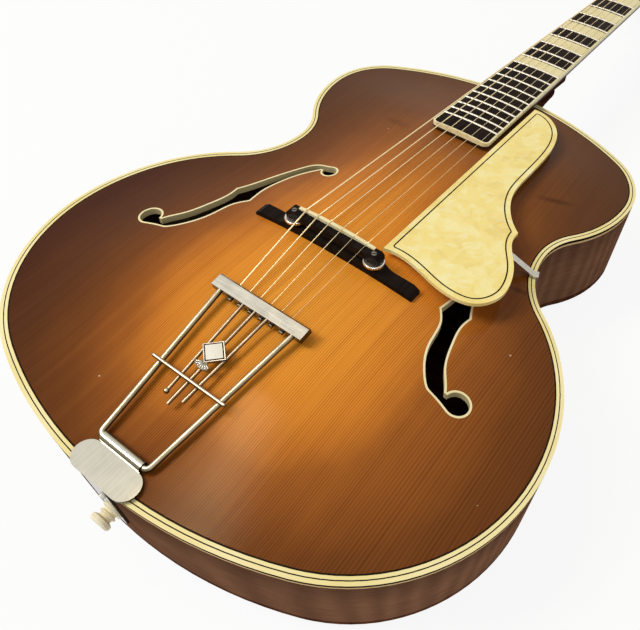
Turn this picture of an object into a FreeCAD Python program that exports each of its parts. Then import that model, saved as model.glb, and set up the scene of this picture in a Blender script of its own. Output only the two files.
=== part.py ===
import FreeCAD, Part
import math
import os
import Sketcher

V = FreeCAD.Vector
Rot = FreeCAD.Rotation
Place = FreeCAD.Placement
X_AXIS = V(1, 0, 0)
Y_AXIS = V(0, 1, 0)
Z_AXIS = V(0, 0, 1)

# X runs to the treble side, Y to the head and Z up. The saddle line is at Y 0 and the back's crown at Z 0.
SIZES = [
    # body
    ("tail_reach", 220.5),
    ("neck_reach", 283.0),
    ("lower_bout_width", 416.0),
    ("lower_bout_share", 0.3206),
    ("tail_swell", 14.1),
    ("lower_side_share", 0.689),
    ("waist_width", 250.0),
    ("waist_share", 0.355),
    ("upper_waist_share", 0.328),
    ("upper_bout_width", 316.0),
    ("upper_bout_share", 0.686),
    ("neck_swell", 25.0),
    ("rim_depth", 82.0),
    ("rim_thickness", 2.6),
    ("plate_thickness", 5.5),
    ("glue_line", 0.15),
    ("top_arch", 16.0),
    ("back_arch", 15.0),
    ("arch_run", 150.0),
    ("lining_width", 6.5),
    ("lining_height", 14.0),
    ("block_width", 90.0),
    ("block_length", 42.0),
    ("outer_binding_width", 2.4),
    ("middle_line_width", 0.7),
    ("inner_binding_width", 2.0),
    ("inner_line_width", 0.9),
    ("binding_height", 5.5),
    ("tone_bar_width", 10.0),
    ("tone_bar_height", 13.0),
    ("tone_bar_length", 340.0),
    ("tone_bar_spacing", 66.0),
    ("f_hole_binding_width", 1.5),
    # neck and fingerboard
    ("scale_length", 640.0),
    ("neck_angle", 3.07),
    ("board_rise", 14.7),
    ("board_length", 470.0),
    ("board_thickness", 6.5),
    ("board_radius", 300.0),
    ("nut_width", 42.4),
    ("board_end_width", 58.4),
    ("board_binding_width", 1.8),
    ("board_corner_radius", 6.0),
    ("fret_count", 21.0),
    ("fret_width", 2.2),
    ("fret_height", 1.1),
    ("inlay_depth", 1.5),
    ("inlay_margin", 0.04),
    ("nut_thickness", 5.0),
    ("nut_rise", 1.6),
    ("neck_depth", 15.0),
    ("neck_depth_growth", 4.0),
    ("heel_cap_thickness", 2.5),
    ("heel_width", 28.0),
    ("heel_length", 26.0),
    ("tongue_setback", 53.0),
    # headstock and tuning machines
    ("head_tilt", 14.0),
    ("head_end_margin", 42.0),
    ("head_thickness", 15.0),
    ("head_lower_width", 70.0),
    ("head_top_width", 78.0),
    ("head_flare_length", 30.0),
    ("head_crown", 6.0),
    ("veneer_thickness", 1.2),
    ("post_first_offset", 46.0),
    ("post_pitch", 40.0),
    ("post_margin", 9.0),
    ("post_radius", 3.0),
    ("post_rise", 19.0),
    ("running_clearance", 0.05),
    ("bushing_radius", 4.6),
    ("bushing_flange_radius", 5.8),
    ("bushing_flange_height", 1.8),
    ("machine_plate_thickness", 1.2),
    ("machine_plate_width", 17.0),
    ("machine_plate_end", 16.0),
    ("gear_teeth", 14.0),
    ("gear_tip_radius", 7.2),
    ("gear_width", 3.0),
    ("gear_drop", 5.2),
    ("mesh_clearance", 0.4),
    ("worm_core_radius", 2.1),
    ("worm_tip_radius", 3.6),
    ("shaft_radius", 1.8),
    ("tab_thickness", 1.6),
    ("tab_width", 8.0),
    ("shaft_overhang", 6.0),
    ("button_length", 17.0),
    ("button_width", 14.0),
    ("button_thickness", 6.5),
    ("screw_head_radius", 2.4),
    ("screw_head_height", 1.3),
    ("screw_shank_radius", 1.1),
    ("screw_length", 9.0),
    # bridge
    ("bridge_wing_length", 31.0),
    ("bridge_base_width", 11.0),
    ("bridge_base_height", 6.0),
    ("bridge_end_height", 6.0),
    ("bridge_setback", 4.0),
    ("stud_margin", 5.5),
    ("stud_radius", 2.0),
    ("wheel_radius", 8.0),
    ("wheel_thickness", 2.6),
    ("wheel_gap", 2.0),
    ("saddle_length", 84.0),
    ("saddle_width", 9.0),
    ("insert_margin", 7.5),
    ("insert_width", 2.6),
    ("insert_height", 2.0),
    ("string_height_at_saddle", 5.7),
    # tailpiece
    ("hinge_setback", 21.0),
    ("hinge_height", 4.8),
    ("hinge_end_gap", 0.3),
    ("hinge_wall", 1.2),
    ("frame_wire_radius", 2.0),
    ("frame_lower_width", 41.0),
    ("frame_upper_width", 64.0),
    ("frame_bend_radius", 3.2),
    ("bar_offset", 81.0),
    ("bar_height", 22.0),
    ("bar_length", 79.0),
    ("bar_width", 10.5),
    ("bar_thickness", 5.6),
    ("cross_wire_share", 0.4515),
    ("cross_wire_length", 61.0),
    ("cross_wire_radius", 1.3),
    ("rod_radius", 1.2),
    ("rod_upper_spacing", 10.5),
    ("rod_lower_spacing", 7.0),
    ("rod_share", 0.638),
    ("middle_rod_share", 0.69),
    ("badge_length", 18.8),
    ("badge_width", 21.0),
    ("badge_thickness", 1.5),
    ("badge_share", 0.645),
    ("plate_width", 52.0),
    ("plate_sheet", 1.6),
    ("plate_arm_width", 15.0),
    # end pin and pickguard
    ("end_pin_drop", 37.0),
    ("end_pin_shank_radius", 4.0),
    ("end_pin_neck_radius", 4.6),
    ("end_pin_head_radius", 7.2),
    ("end_pin_length", 11.5),
    ("guard_thickness", 3.0),
    ("guard_bridge_height", 19.5),
    ("guard_neck_height", 11.0),
    ("guard_edge", 32.5),
    ("guard_setback", 30.6),
    ("bracket_width", 6.0),
    ("bracket_thickness", 1.6),
    ("bracket_drop", 24.0),
    # strings
    ("string_spread_bridge", 55.4),
    ("string_spread_nut", 35.6),
    ("string_thinnest", 0.3),
    ("string_thickest", 1.3),
]

doc = FreeCAD.newDocument("archtop_guitar")
sheet = doc.addObject("Spreadsheet::Sheet", "sizes")
for row, (alias, value) in enumerate(SIZES, 1):
    sheet.set("A%d" % row, str(value))
    sheet.setAlias("A%d" % row, alias)
doc.recompute()


class Size:
    """A number together with the expression that gives it from the sheet."""

    def __init__(self, value, text):
        self.value = value
        self.text = text

    def __add__(self, other):
        other = as_size(other)
        return Size(self.value + other.value, "(%s + %s)" % (self.text, other.text))

    def __sub__(self, other):
        other = as_size(other)
        return Size(self.value - other.value, "(%s - %s)" % (self.text, other.text))

    def __mul__(self, other):
        other = as_size(other)
        return Size(self.value * other.value, "(%s * %s)" % (self.text, other.text))

    def __truediv__(self, other):
        other = as_size(other)
        return Size(self.value / other.value, "(%s / %s)" % (self.text, other.text))

    def __neg__(self):
        return Size(-self.value, "(0 - %s)" % self.text)

    def __radd__(self, other):
        return as_size(other) + self

    def __rsub__(self, other):
        return as_size(other) - self

    def __rmul__(self, other):
        return as_size(other) * self


def as_size(number):
    if isinstance(number, Size):
        return number
    return Size(float(number), repr(float(number)))


def s(alias):
    return Size(float(sheet.get(alias)), "sizes." + alias)


def num(number):
    return as_size(number).value


nodes = {}


def keep(obj, label):
    obj.Label = label
    nodes[label] = obj
    return obj


def feature(label, shape, place=None):
    obj = doc.addObject("Part::Feature", "form")
    obj.Shape = shape
    if place is not None:
        obj.Placement = place
    return keep(obj, label)


def new_body(place=None):
    body = doc.addObject("PartDesign::Body", "Body")
    if place is not None:
        body.Placement = place
    return body


def place_point(sketch, geo, pos, point, names):
    """Hold one point of a sketch at a position bound to the sheet."""
    for axis, kind, coord in ((-2, "DistanceX", point[0]), (-1, "DistanceY", point[1])):
        coord = as_size(coord)
        if abs(coord.value) < 1e-9:
            sketch.addConstraint(Sketcher.Constraint("PointOnObject", geo, pos, axis))
            continue
        index = sketch.addConstraint(Sketcher.Constraint(kind, -1, 1, geo, pos, coord.value))
        if "sizes" in coord.text:
            names.append((index, coord.text))


def new_sketch(body, plane, lift=None):
    sketch = body.newObject("Sketcher::SketchObject", "Sketch")
    support = [f for f in body.Origin.OriginFeatures if f.Role == plane][0]
    sketch.AttachmentSupport = [(support, "")]
    sketch.MapMode = "FlatFace"
    if lift is not None:
        lift = as_size(lift)
        sketch.AttachmentOffset = Place(V(0, 0, lift.value), Rot())
        sketch.setExpression("AttachmentOffset.Base.z", lift.text)
    return sketch


def draw(sketch, points):
    """Closed outline; a point given as (x, y, mid x, mid y) starts an arc through the middle point."""
    names = []
    first = sketch.GeometryCount
    count = len(points)
    ends = []
    for i, point in enumerate(points):
        after = points[(i + 1) % count]
        a = V(num(point[0]), num(point[1]), 0)
        b = V(num(after[0]), num(after[1]), 0)
        if len(point) == 2:
            sketch.addGeometry(Part.LineSegment(a, b), False)
            ends.append((1, 2))
            continue
        m = V(num(point[2]), num(point[3]), 0)
        sketch.addGeometry(Part.Arc(a, m, b), False)
        turn = (m - a).cross(b - a).z
        ends.append((1, 2) if turn > 0 else (2, 1))
    for i in range(count):
        follow = (i + 1) % count
        sketch.addConstraint(Sketcher.Constraint("Coincident", first + i, ends[i][1],
                                                 first + follow, ends[follow][0]))
    for i, point in enumerate(points):
        place_point(sketch, first + i, ends[i][0], point, names)
    for i, point in enumerate(points):
        if len(point) == 4:
            through = sketch.addGeometry(Part.Point(V(num(point[2]), num(point[3]), 0)), True)
            place_point(sketch, through, 1, point[2:], names)
            sketch.addConstraint(Sketcher.Constraint("PointOnObject", through, 1, first + i))
    for index, text in names:
        sketch.setExpression("Constraints[%d]" % index, text)
    return sketch


def draw_circle(sketch, centre, radius):
    names = []
    radius = as_size(radius)
    at = V(num(centre[0]), num(centre[1]), 0)
    geo = sketch.addGeometry(Part.Circle(at, Z_AXIS, radius.value), False)
    place_point(sketch, geo, 3, centre, names)
    index = sketch.addConstraint(Sketcher.Constraint("Radius", geo, radius.value))
    if "sizes" in radius.text:
        names.append((index, radius.text))
    for index, text in names:
        sketch.setExpression("Constraints[%d]" % index, text)
    return sketch


def pad(body, plane, points, length, lift=None, back=False):
    sketch = draw(new_sketch(body, plane, lift), points)
    return pad_sketch(body, sketch, length, back)


def pad_sketch(body, sketch, length, back=False):
    pad = body.newObject("PartDesign::Pad", "Pad")
    pad.Profile = sketch
    pad.setExpression("Length", as_size(length).text)
    pad.Reversed = back
    body.Tip = pad
    return pad


def pocket_circle(body, plane, centre, radius, lift=None, both=True):
    sketch = draw_circle(new_sketch(body, plane, lift), centre, radius)
    pocket = body.newObject("PartDesign::Pocket", "Pocket")
    pocket.Profile = sketch
    pocket.Type = 1
    pocket.Midplane = both
    body.Tip = pocket
    return pocket


def revolve(body, points):
    """Full turn about the body's own Z axis of an outline given as (radius, height)."""
    sketch = draw(new_sketch(body, "XZ_Plane"), points)
    turn = body.newObject("PartDesign::Revolution", "Revolution")
    turn.Profile = sketch
    turn.ReferenceAxis = (sketch, ["V_Axis"])
    turn.Angle = 360
    body.Tip = turn
    return turn


def box_points(x_low, x_high, y_low, y_high):
    return [(x_low, y_low), (x_high, y_low), (x_high, y_high), (x_low, y_high)]


def join(kind, objs):
    obj = doc.addObject(kind, "Joined")
    if hasattr(obj, "Refine"):
        obj.Refine = False
    if kind in ("Part::Cut", "Part::Common"):
        obj.Base, obj.Tool = objs
    elif kind == "Part::Compound":
        obj.Links = objs
    else:
        obj.Shapes = objs
    return obj


# Heights of the seams between plates and rim
back_edge = s("back_arch")
top_edge = back_edge + s("rim_depth")
rim_low = back_edge + s("plate_thickness") + s("glue_line")
rim_high = top_edge - s("binding_height")
TOP = top_edge.value
binding_width = (s("outer_binding_width") + s("middle_line_width")
                 + s("inner_binding_width") + s("inner_line_width"))


def between(centre_a, centre_b):
    return math.atan2(centre_b[1] - centre_a[1], centre_b[0] - centre_a[0])


def outline_arcs(inset):
    """Right half of the body outline, tail to neck, as tangent arcs moved inwards by the inset.

    The bouts and the waist sit at shares of the reach on their side of the saddle line. Where two arcs share
    a bend, one of them takes a share of the sum of both radii.
    """
    tail = -num(s("tail_reach"))
    neck = num(s("neck_reach"))
    low_x = num(s("lower_bout_width")) / 2
    low_y = tail * num(s("lower_bout_share"))
    waist_x = num(s("waist_width")) / 2
    waist_y = neck * num(s("waist_share"))
    high_x = num(s("upper_bout_width")) / 2
    high_y = neck * num(s("upper_bout_share"))
    corner = low_y - tail - num(s("tail_swell"))
    shoulder = neck - high_y - num(s("neck_swell"))

    def end_radius(x, rise, small):
        return (x * x + rise * rise - small * small) / (2 * (rise - small))

    def radius_sum(dx, dy):
        return (dx * dx + dy * dy) / (2 * dx)

    corner_at = (low_x - corner, low_y)
    tail_radius = end_radius(corner_at[0], low_y - tail, corner)
    tail_at = (0, tail + tail_radius)
    lower_sum = radius_sum(low_x - waist_x, waist_y - low_y)
    side = lower_sum * num(s("lower_side_share"))
    side_at = (low_x - side, low_y)
    lower_waist = lower_sum - side
    lower_waist_at = (waist_x + lower_waist, waist_y)
    upper_sum = radius_sum(high_x - waist_x, high_y - waist_y)
    upper = upper_sum * num(s("upper_waist_share"))
    upper_waist_at = (waist_x + upper, waist_y)
    bout = upper_sum - upper
    bout_at = (high_x - bout, high_y)
    shoulder_at = (high_x - shoulder, high_y)
    neck_radius = end_radius(shoulder_at[0], neck - high_y, shoulder)
    neck_at = (0, neck - neck_radius)

    turn_tail = between(tail_at, corner_at)
    turn_low = between(side_at, lower_waist_at)
    turn_high = between(upper_waist_at, bout_at)
    turn_neck = between(neck_at, shoulder_at)
    quarter = math.pi / 2
    arcs = [
        (tail_at, tail_radius - inset, -quarter, turn_tail),
        (corner_at, corner - inset, turn_tail, 0),
        (side_at, side - inset, 0, turn_low),
        (lower_waist_at, lower_waist + inset, turn_low + math.pi, math.pi),
        (upper_waist_at, upper + inset, math.pi, turn_high),
        (bout_at, bout - inset, turn_high - math.pi, 0),
        (shoulder_at, shoulder - inset, 0, turn_neck),
        (neck_at, neck_radius - inset, turn_neck, quarter),
    ]
    return arcs


def arc_points(arc, side, steps):
    centre, radius, start, end = arc
    points = []
    for k in range(steps + 1):
        angle = start + (end - start) * k / steps
        x = centre[0] + radius * math.cos(angle)
        points.append(V(side * x, centre[1] + radius * math.sin(angle), 0))
    return points


def half_edges(inset, side):
    return [Part.Arc(*arc_points(arc, side, 2)).toShape() for arc in outline_arcs(inset)]


def outline_wire(inset):
    return Part.Wire(half_edges(inset, 1) + half_edges(inset, -1)[::-1])


def prism(inset, low, high):
    face = Part.Face(outline_wire(inset))
    face.translate(V(0, 0, low))
    return face.extrude(V(0, 0, high - low))


def ring(outer, inner, low, high):
    return prism(outer, low, high).cut(prism(inner, low - 1, high + 1))


def edge_samples():
    """Middle points and lengths of short steps around the outline."""
    samples = []
    for side in (1, -1):
        for arc in outline_arcs(0):
            points = arc_points(arc, side, 14)
            for a, b in zip(points, points[1:]):
                samples.append(((a.x + b.x) / 2, (a.y + b.y) / 2, (b - a).Length))
    return samples


STEPS = edge_samples()
SPREAD_POWER = 6
SPREAD_FACTOR = math.sqrt(math.pi) * math.gamma((SPREAD_POWER - 1) / 2) / math.gamma(SPREAD_POWER / 2)


def arch(x, y):
    """Share of the full arch at a point: nought at the edge, one at the crown, level at both."""
    total = sum(run / ((x - px) ** 2 + (y - py) ** 2 + 0.01) ** (SPREAD_POWER / 2) for px, py, run in STEPS)
    depth = (total / SPREAD_FACTOR) ** (-1 / (SPREAD_POWER - 1))
    return math.sin(math.pi / 2 * min(depth / num(s("arch_run")), 1)) ** 2


def arch_grid():
    half = num(s("lower_bout_width")) / 2 + 12
    low = -num(s("tail_reach")) - 12
    high = num(s("neck_reach")) + 12
    columns = 25
    rows = 29
    grid = []
    for i in range(columns):
        x = -half + 2 * half * i / (columns - 1)
        line = []
        for j in range(rows):
            y = low + (high - low) * j / (rows - 1)
            line.append((x, y, arch(x, y)))
        grid.append(line)
    return grid


GRID = arch_grid()


def arch_face(level, height):
    surface = Part.BSplineSurface()
    surface.interpolate([[V(x, y, level + height * share) for x, y, share in line] for line in GRID])
    return surface.toShape()


def top_height(x, y):
    return TOP + num(s("top_arch")) * arch(x, y)


thickness = num(s("plate_thickness"))
top_skin = arch_face(TOP, num(s("top_arch")))
top_under = arch_face(TOP - thickness, num(s("top_arch")))
back_skin = arch_face(num(back_edge), -num(s("back_arch")))
back_upper = arch_face(num(back_edge) + thickness, -num(s("back_arch")))
above_under = top_under.extrude(V(0, 0, 80))
below_upper = back_upper.extrude(V(0, 0, -80))
below_skin = top_skin.extrude(V(0, 0, -60))


# F-holes: two eyes joined by a stem with a nick on each side
LOW_EYE = V(141.0, -56.0, 0)
LOW_EYE_RADIUS = 9.0
HIGH_EYE = V(65.3, 70.2, 0)
HIGH_EYE_RADIUS = 6.9
LOBE_TURN = 250.0
CROOK_TURN = 70.0
LOW_NOTCH_TURN = 167.0
HIGH_NOTCH_TURN = 350.0
NOTCH_WIDTH = 1.6
INNER_NICK = V(91.0, 1.5, 0)
OUTER_NICK = V(112.2, 8.5, 0)


def heading(degrees):
    return V(math.cos(math.radians(degrees)), math.sin(math.radians(degrees)), 0)


def f_hole_runs():
    """Outline of the treble hole as runs of points with their first and last headings, counter-clockwise."""
    low_start = LOW_EYE + heading(LOBE_TURN) * LOW_EYE_RADIUS
    low_notch = LOW_EYE + heading(LOW_NOTCH_TURN) * LOW_EYE_RADIUS
    high_start = HIGH_EYE + heading(CROOK_TURN) * HIGH_EYE_RADIUS
    high_notch = HIGH_EYE + heading(HIGH_NOTCH_TURN) * HIGH_EYE_RADIUS
    low_tip = low_notch - X_AXIS * NOTCH_WIDTH
    high_tip = high_notch + X_AXIS * NOTCH_WIDTH
    return [
        ("arc", [low_start, LOW_EYE + heading(29) * LOW_EYE_RADIUS, low_notch],
         LOBE_TURN + 90, LOW_NOTCH_TURN + 90),
        ("line", [low_notch, low_tip], 180, 180),
        ("curve", [low_tip, V(121.5, -40, 0), V(114, -19, 0), V(111, -2, 0), OUTER_NICK], 115, 78),
        ("curve",
         [OUTER_NICK, V(107.2, 19.5, 0), V(100.2, 39, 0), V(90.5, 60.5, 0), V(79, 74, 0), high_start],
         118, CROOK_TURN + 90),
        ("arc", [high_start, HIGH_EYE + heading(210) * HIGH_EYE_RADIUS, high_notch],
         CROOK_TURN + 90, HIGH_NOTCH_TURN + 90),
        ("line", [high_notch, high_tip], 0, 0),
        ("curve", [high_tip, V(83.5, 55, 0), V(90, 38, 0), V(93, 20, 0), INNER_NICK], -50, -98),
        ("curve",
         [INNER_NICK, V(97.5, -8, 0), V(101.6, -27, 0), V(108, -44.5, 0), V(119, -58.5, 0), low_start],
         -52, LOBE_TURN - 270),
    ]


def f_hole_face(side, grow):
    """Face of one f-hole with its outline moved outwards by a distance."""
    def outward(degrees):
        return heading(degrees - 90)

    runs = f_hole_runs()
    corners = []
    for run, following in zip([runs[-1]] + runs[:-1], runs):
        a = outward(run[3])
        b = outward(following[2])
        corners.append(following[1][0] + (a + b) * (grow / (1 + a.dot(b))))
    edges = []
    for index, (kind, points, first, last) in enumerate(runs):
        start = corners[index]
        end = corners[(index + 1) % len(runs)]
        if kind == "line":
            edges.append(Part.LineSegment(start, end).toShape())
            continue
        if kind == "arc":
            centre = LOW_EYE if index == 0 else HIGH_EYE
            middle = points[1] + (points[1] - centre).normalize() * grow
            edges.append(Part.Arc(start, middle, end).toShape())
            continue
        line = Part.BSplineCurve()
        line.interpolate(Points=points, InitialTangent=heading(first), FinalTangent=heading(last))
        moved = [start]
        for point in points[1:-1]:
            along = line.tangent(line.parameter(point))[0]
            moved.append(point + V(along.y, -along.x, 0) * grow)
        moved.append(end)
        line.interpolate(Points=moved, InitialTangent=heading(first), FinalTangent=heading(last))
        edges.append(line.toShape())
    face = Part.Face(Part.Wire(edges))
    if side < 0:
        face = face.mirror(V(0, 0, 0), X_AXIS)
    return face


def f_hole_prism(side, grow):
    face = f_hole_face(side, grow)
    face.translate(V(0, 0, TOP - 30))
    return face.extrude(V(0, 0, 70))


seat_inset = num(binding_width + s("glue_line"))
top_blank = top_skin.extrude(V(0, 0, -thickness)).common(prism(seat_inset, TOP - 40, TOP + 60))
half_band = num(s("f_hole_binding_width")) / 2
top_shape = top_blank
bound = []
for side in (-1, 1):
    wide = f_hole_prism(side, half_band)
    band = wide.cut(f_hole_prism(side, -half_band))
    bound.append(top_blank.common(band))
    top_shape = top_shape.cut(wide)
feature("top_plate", top_shape)
feature("f_hole_bindings", Part.makeCompound([solid for shape in bound for solid in shape.Solids]))
back_shape = back_skin.extrude(V(0, 0, thickness)).common(prism(0, -20, TOP))
feature("back_plate", back_shape)


def ring_body(outer, inner, low, height):
    """Closed band around the body between two insets."""
    body = new_body()
    sketch = new_sketch(body, "XY_Plane", low)
    for inset in (outer, inner):
        for side in (1, -1):
            for arc in outline_arcs(num(inset)):
                sketch.addGeometry(Part.Arc(*arc_points(arc, side, 2)), False)
    pad_sketch(body, sketch, height)
    return body


def rim_half(side):
    """Bent side of the body, from the tail seam to the neck."""
    body = new_body()
    sketch = new_sketch(body, "XY_Plane", rim_low)
    ends = []
    for inset in (0, num(s("rim_thickness"))):
        arcs = outline_arcs(inset)
        for arc in arcs:
            sketch.addGeometry(Part.Arc(*arc_points(arc, side, 2)), False)
        ends.append((arc_points(arcs[0], side, 2)[0], arc_points(arcs[-1], side, 2)[2]))
    for a, b in zip(*ends):
        sketch.addGeometry(Part.LineSegment(V(0, a.y, 0), V(0, b.y, 0)), False)
    pad_sketch(body, sketch, rim_high - rim_low)
    return body


plies = []
ply = as_size(0)
for width in ("outer_binding_width", "middle_line_width", "inner_binding_width", "inner_line_width"):
    plies.append(ring_body(ply, ply + s(width), rim_high, s("binding_height")))
    ply = ply + s(width)
keep(join("Part::Compound", plies[0::2]), "top_binding")
keep(join("Part::Compound", plies[1::2]), "top_purfling")

# Blocks fill the body's ends between the two plates
wall = num(s("rim_thickness"))
half_block = num(s("block_width")) / 2
binding_room = ring(-1, num(binding_width), num(rim_high), TOP + 10)


def block(near, far):
    raw = Part.makeBox(2 * half_block, far - near, TOP + 40, V(-half_block, near, -20))
    filled = raw.common(prism(wall, -10, TOP + 10))
    return filled.cut(above_under).cut(below_upper).cut(binding_room)


tail_near = -num(s("tail_reach")) - 1
neck_far = num(s("neck_reach")) + 1
tail_far = -num(s("tail_reach")) + num(s("block_length"))
neck_near = num(s("neck_reach")) - num(s("block_length"))
neck_block_shape = block(neck_near, neck_far)
tail_block_shape = block(tail_near, tail_far)


def lining(low, high):
    band = ring(wall, wall + num(s("lining_width")), low, high)
    for near, far in ((tail_near, tail_far), (neck_near, neck_far)):
        band = band.cut(Part.makeBox(2 * half_block, far - near, TOP + 40, V(-half_block, near, -20)))
    return band.cut(above_under).cut(below_upper).cut(binding_room)


lining_height = num(s("lining_height"))
feature("top_lining", lining(num(rim_high) - lining_height, TOP + 5))
feature("back_lining", lining(num(rim_low) - 5, num(rim_low) + lining_height))

# Tone bars: two spruce struts under the top, feathered at the ends
bar_shapes = []
bar_half = num(s("tone_bar_width")) / 2
bar_reach = num(s("tone_bar_length")) / 2
bar_drop = num(s("tone_bar_height")) + thickness
for side in (-1, 1):
    middle = side * num(s("tone_bar_spacing")) / 2
    centre_y = 10
    crown = top_height(middle, centre_y) - bar_drop
    profile = Part.makePolygon([
        V(middle - bar_half, centre_y - bar_reach, TOP + 30),
        V(middle - bar_half, centre_y - bar_reach, TOP - 4),
        V(middle - bar_half, centre_y - bar_reach * 0.6, crown),
        V(middle - bar_half, centre_y + bar_reach * 0.6, crown),
        V(middle - bar_half, centre_y + bar_reach, TOP - 4),
        V(middle - bar_half, centre_y + bar_reach, TOP + 30),
        V(middle - bar_half, centre_y - bar_reach, TOP + 30),
    ])
    strut = Part.Face(profile).extrude(V(2 * bar_half, 0, 0))
    bar_shapes.append(strut.cut(above_under))
feature("tone_bars", Part.makeCompound(bar_shapes))

# Neck frame: origin at the fingerboard's crest under the nut's front face, Y to the head
angle = num(s("neck_angle"))
tilt = math.radians(angle)
scale = num(s("scale_length"))
joint_height = TOP + num(s("board_rise"))
nut_y = scale * math.cos(tilt)
nut_z = joint_height - (nut_y - num(s("neck_reach"))) * math.tan(tilt)
NECK = Place(V(0, nut_y, nut_z), Rot(X_AXIS, -angle))
HEAD = NECK.multiply(Place(V(0, num(s("nut_thickness")), -num(s("board_thickness"))),
                           Rot(X_AXIS, -num(s("head_tilt")))))


def board_width_at(distance):
    """Fingerboard width at a distance from the nut."""
    grow = (s("board_end_width") - s("nut_width")) / s("board_length")
    return s("nut_width") + grow * distance


def board_plan(inset):
    """Tapered outline from the nut to the rounded end, moved inwards by the inset."""
    slope = (s("board_end_width") - s("nut_width")) / 2 / s("board_length")
    corner = s("board_corner_radius") - inset
    reach = s("board_length") - inset
    shoulder = reach - corner
    side = s("nut_width") / 2 + slope * shoulder - inset
    start = s("nut_width") / 2 - inset
    bow = corner * (1 - math.sqrt(0.5))
    return [(-start, 0), (-side, -shoulder, bow - side, bow - reach), (corner - side, -reach),
            (side - corner, -reach, side - bow, bow - reach), (side, -shoulder), (start, 0)]


def board_blank(inset):
    body = new_body(NECK)
    pad(body, "XY_Plane", board_plan(inset), s("board_thickness"), -s("board_thickness"))
    return body


def crest():
    """Long cylinder that gives the fingerboard its cross radius."""
    rod = doc.addObject("Part::Cylinder", "Crest")
    rod.setExpression("Radius", "sizes.board_radius")
    rod.setExpression("Height", "sizes.board_length + 20")
    rod.Placement = NECK.multiply(Place(V(0, 10, -num(s("board_radius"))), Rot(X_AXIS, 90)))
    return rod


def fret_at(number):
    return scale * (1 - 2 ** (-number / 12))


INLAY_FRETS = (3, 5, 7, 9, 12)
INLAY_START = 0.1


def inlay_blank():
    parts = []
    for number in INLAY_FRETS:
        near = fret_at(number - 1)
        far = fret_at(number)
        near += (far - near) * INLAY_START
        narrow = min(num(board_width_at(near)), num(board_width_at(far)))
        half = narrow / 2 - num(s("board_binding_width")) - num(s("inlay_margin"))
        depth = num(s("inlay_depth")) + half * half / (2 * num(s("board_radius")))
        parts.append(Part.makeBox(2 * half, far - near, depth + 1, V(-half, -far, -depth)))
    obj = doc.addObject("Part::Feature", "InlayBlank")
    obj.Shape = Part.makeCompound(parts)
    obj.Placement = NECK
    return obj


inlays = inlay_blank()
board = join("Part::Common", [board_blank(s("board_binding_width")), crest()])
keep(join("Part::Cut", [board, inlays]), "fingerboard")
keep(join("Part::Common", [inlay_blank(), crest()]), "position_inlays")
full_board = join("Part::Common", [board_blank(as_size(0)), crest()])
keep(join("Part::Cut", [full_board, board_blank(s("board_binding_width"))]), "fingerboard_binding")

# Frets: half-round crowns bent to the fingerboard's radius
fret_shapes = []
board_radius = num(s("board_radius"))
half_crown = num(s("fret_width")) / 2
crown_height = num(s("fret_height"))
for number in range(1, int(num(s("fret_count"))) + 1):
    y = -fret_at(number)
    half_angle = math.asin((num(board_width_at(-y)) / 2 - 0.2) / board_radius)
    start = V(0, y - half_crown, 0)
    over = V(0, y, crown_height)
    end = V(0, y + half_crown, 0)
    crown = Part.Arc(start, over, end).toShape()
    section = Part.Face(Part.Wire([crown, Part.LineSegment(end, start).toShape()]))
    section.rotate(V(0, 0, -board_radius), Y_AXIS, -math.degrees(half_angle))
    fret_shapes.append(section.revolve(V(0, 0, -board_radius), Y_AXIS, 2 * math.degrees(half_angle)))
feature("frets", Part.makeCompound(fret_shapes), NECK)

NUT_CROWN = 0.6
nut = new_body(NECK)
nut_half = s("nut_width") / 2
pad(nut, "XZ_Plane",
    [(-nut_half, -s("board_thickness")), (nut_half, -s("board_thickness")),
     (nut_half, s("nut_rise") - NUT_CROWN, 0, s("nut_rise")), (-nut_half, s("nut_rise") - NUT_CROWN)],
    s("nut_thickness"), None, True)
keep(nut, "nut")


# Neck: D-shaped shaft, heel, headstock
def half_round(width, top, depth):
    return [(-width / 2, top, 0, top - depth), (width / 2, top)]


board_under = -s("board_thickness")
shaft = new_body(NECK)
sections = []
for distance, extra in ((as_size(0), as_size(0)), (s("scale_length") * 0.3, s("neck_depth_growth") * 0.6),
                        (s("scale_length") - s("neck_reach") - 20, s("neck_depth_growth"))):
    width = board_width_at(distance)
    outline = half_round(width, board_under, s("neck_depth") + extra)
    sections.append(draw(new_sketch(shaft, "XZ_Plane", distance), outline))
loft = shaft.newObject("PartDesign::AdditiveLoft", "Loft")
loft.Profile = sections[0]
loft.Sections = sections[1:]
shaft.Tip = loft

tongue = new_body(NECK)
slope = (s("board_end_width") - s("nut_width")) / 2 / s("board_length")
joint = s("scale_length") - s("neck_reach")
near = joint - 60
far = s("board_length") - s("tongue_setback")
tongue_drop = 7.0
pad(tongue, "XY_Plane",
    [(-(s("nut_width") / 2 + slope * near), -near), (-(s("nut_width") / 2 + slope * far - 6), -far),
     (s("nut_width") / 2 + slope * far - 6, -far), (s("nut_width") / 2 + slope * near, -near)],
    tongue_drop, board_under - tongue_drop)


def heel_plan(half, reach):
    return [(half, -8), (half, 2, 0, reach), (-half, 2), (-half, -8)]


heel = new_body(Place(V(0, num(s("neck_reach")), 0), Rot()))
wide = s("board_end_width") / 2 - 4
sections = []
for level, half, reach in ((back_edge + s("heel_cap_thickness"), s("heel_width") / 2, s("heel_length")),
                           (back_edge + s("rim_depth") * 0.6, s("heel_width") / 2 + 1, s("heel_length") + 3),
                           (top_edge - 2, wide - 6, s("heel_length") + 26)):
    sections.append(draw(new_sketch(heel, "XY_Plane", level), heel_plan(half, reach)))
loft = heel.newObject("PartDesign::AdditiveLoft", "Loft")
loft.Profile = sections[0]
loft.Sections = sections[1:]
heel.Tip = loft

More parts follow.
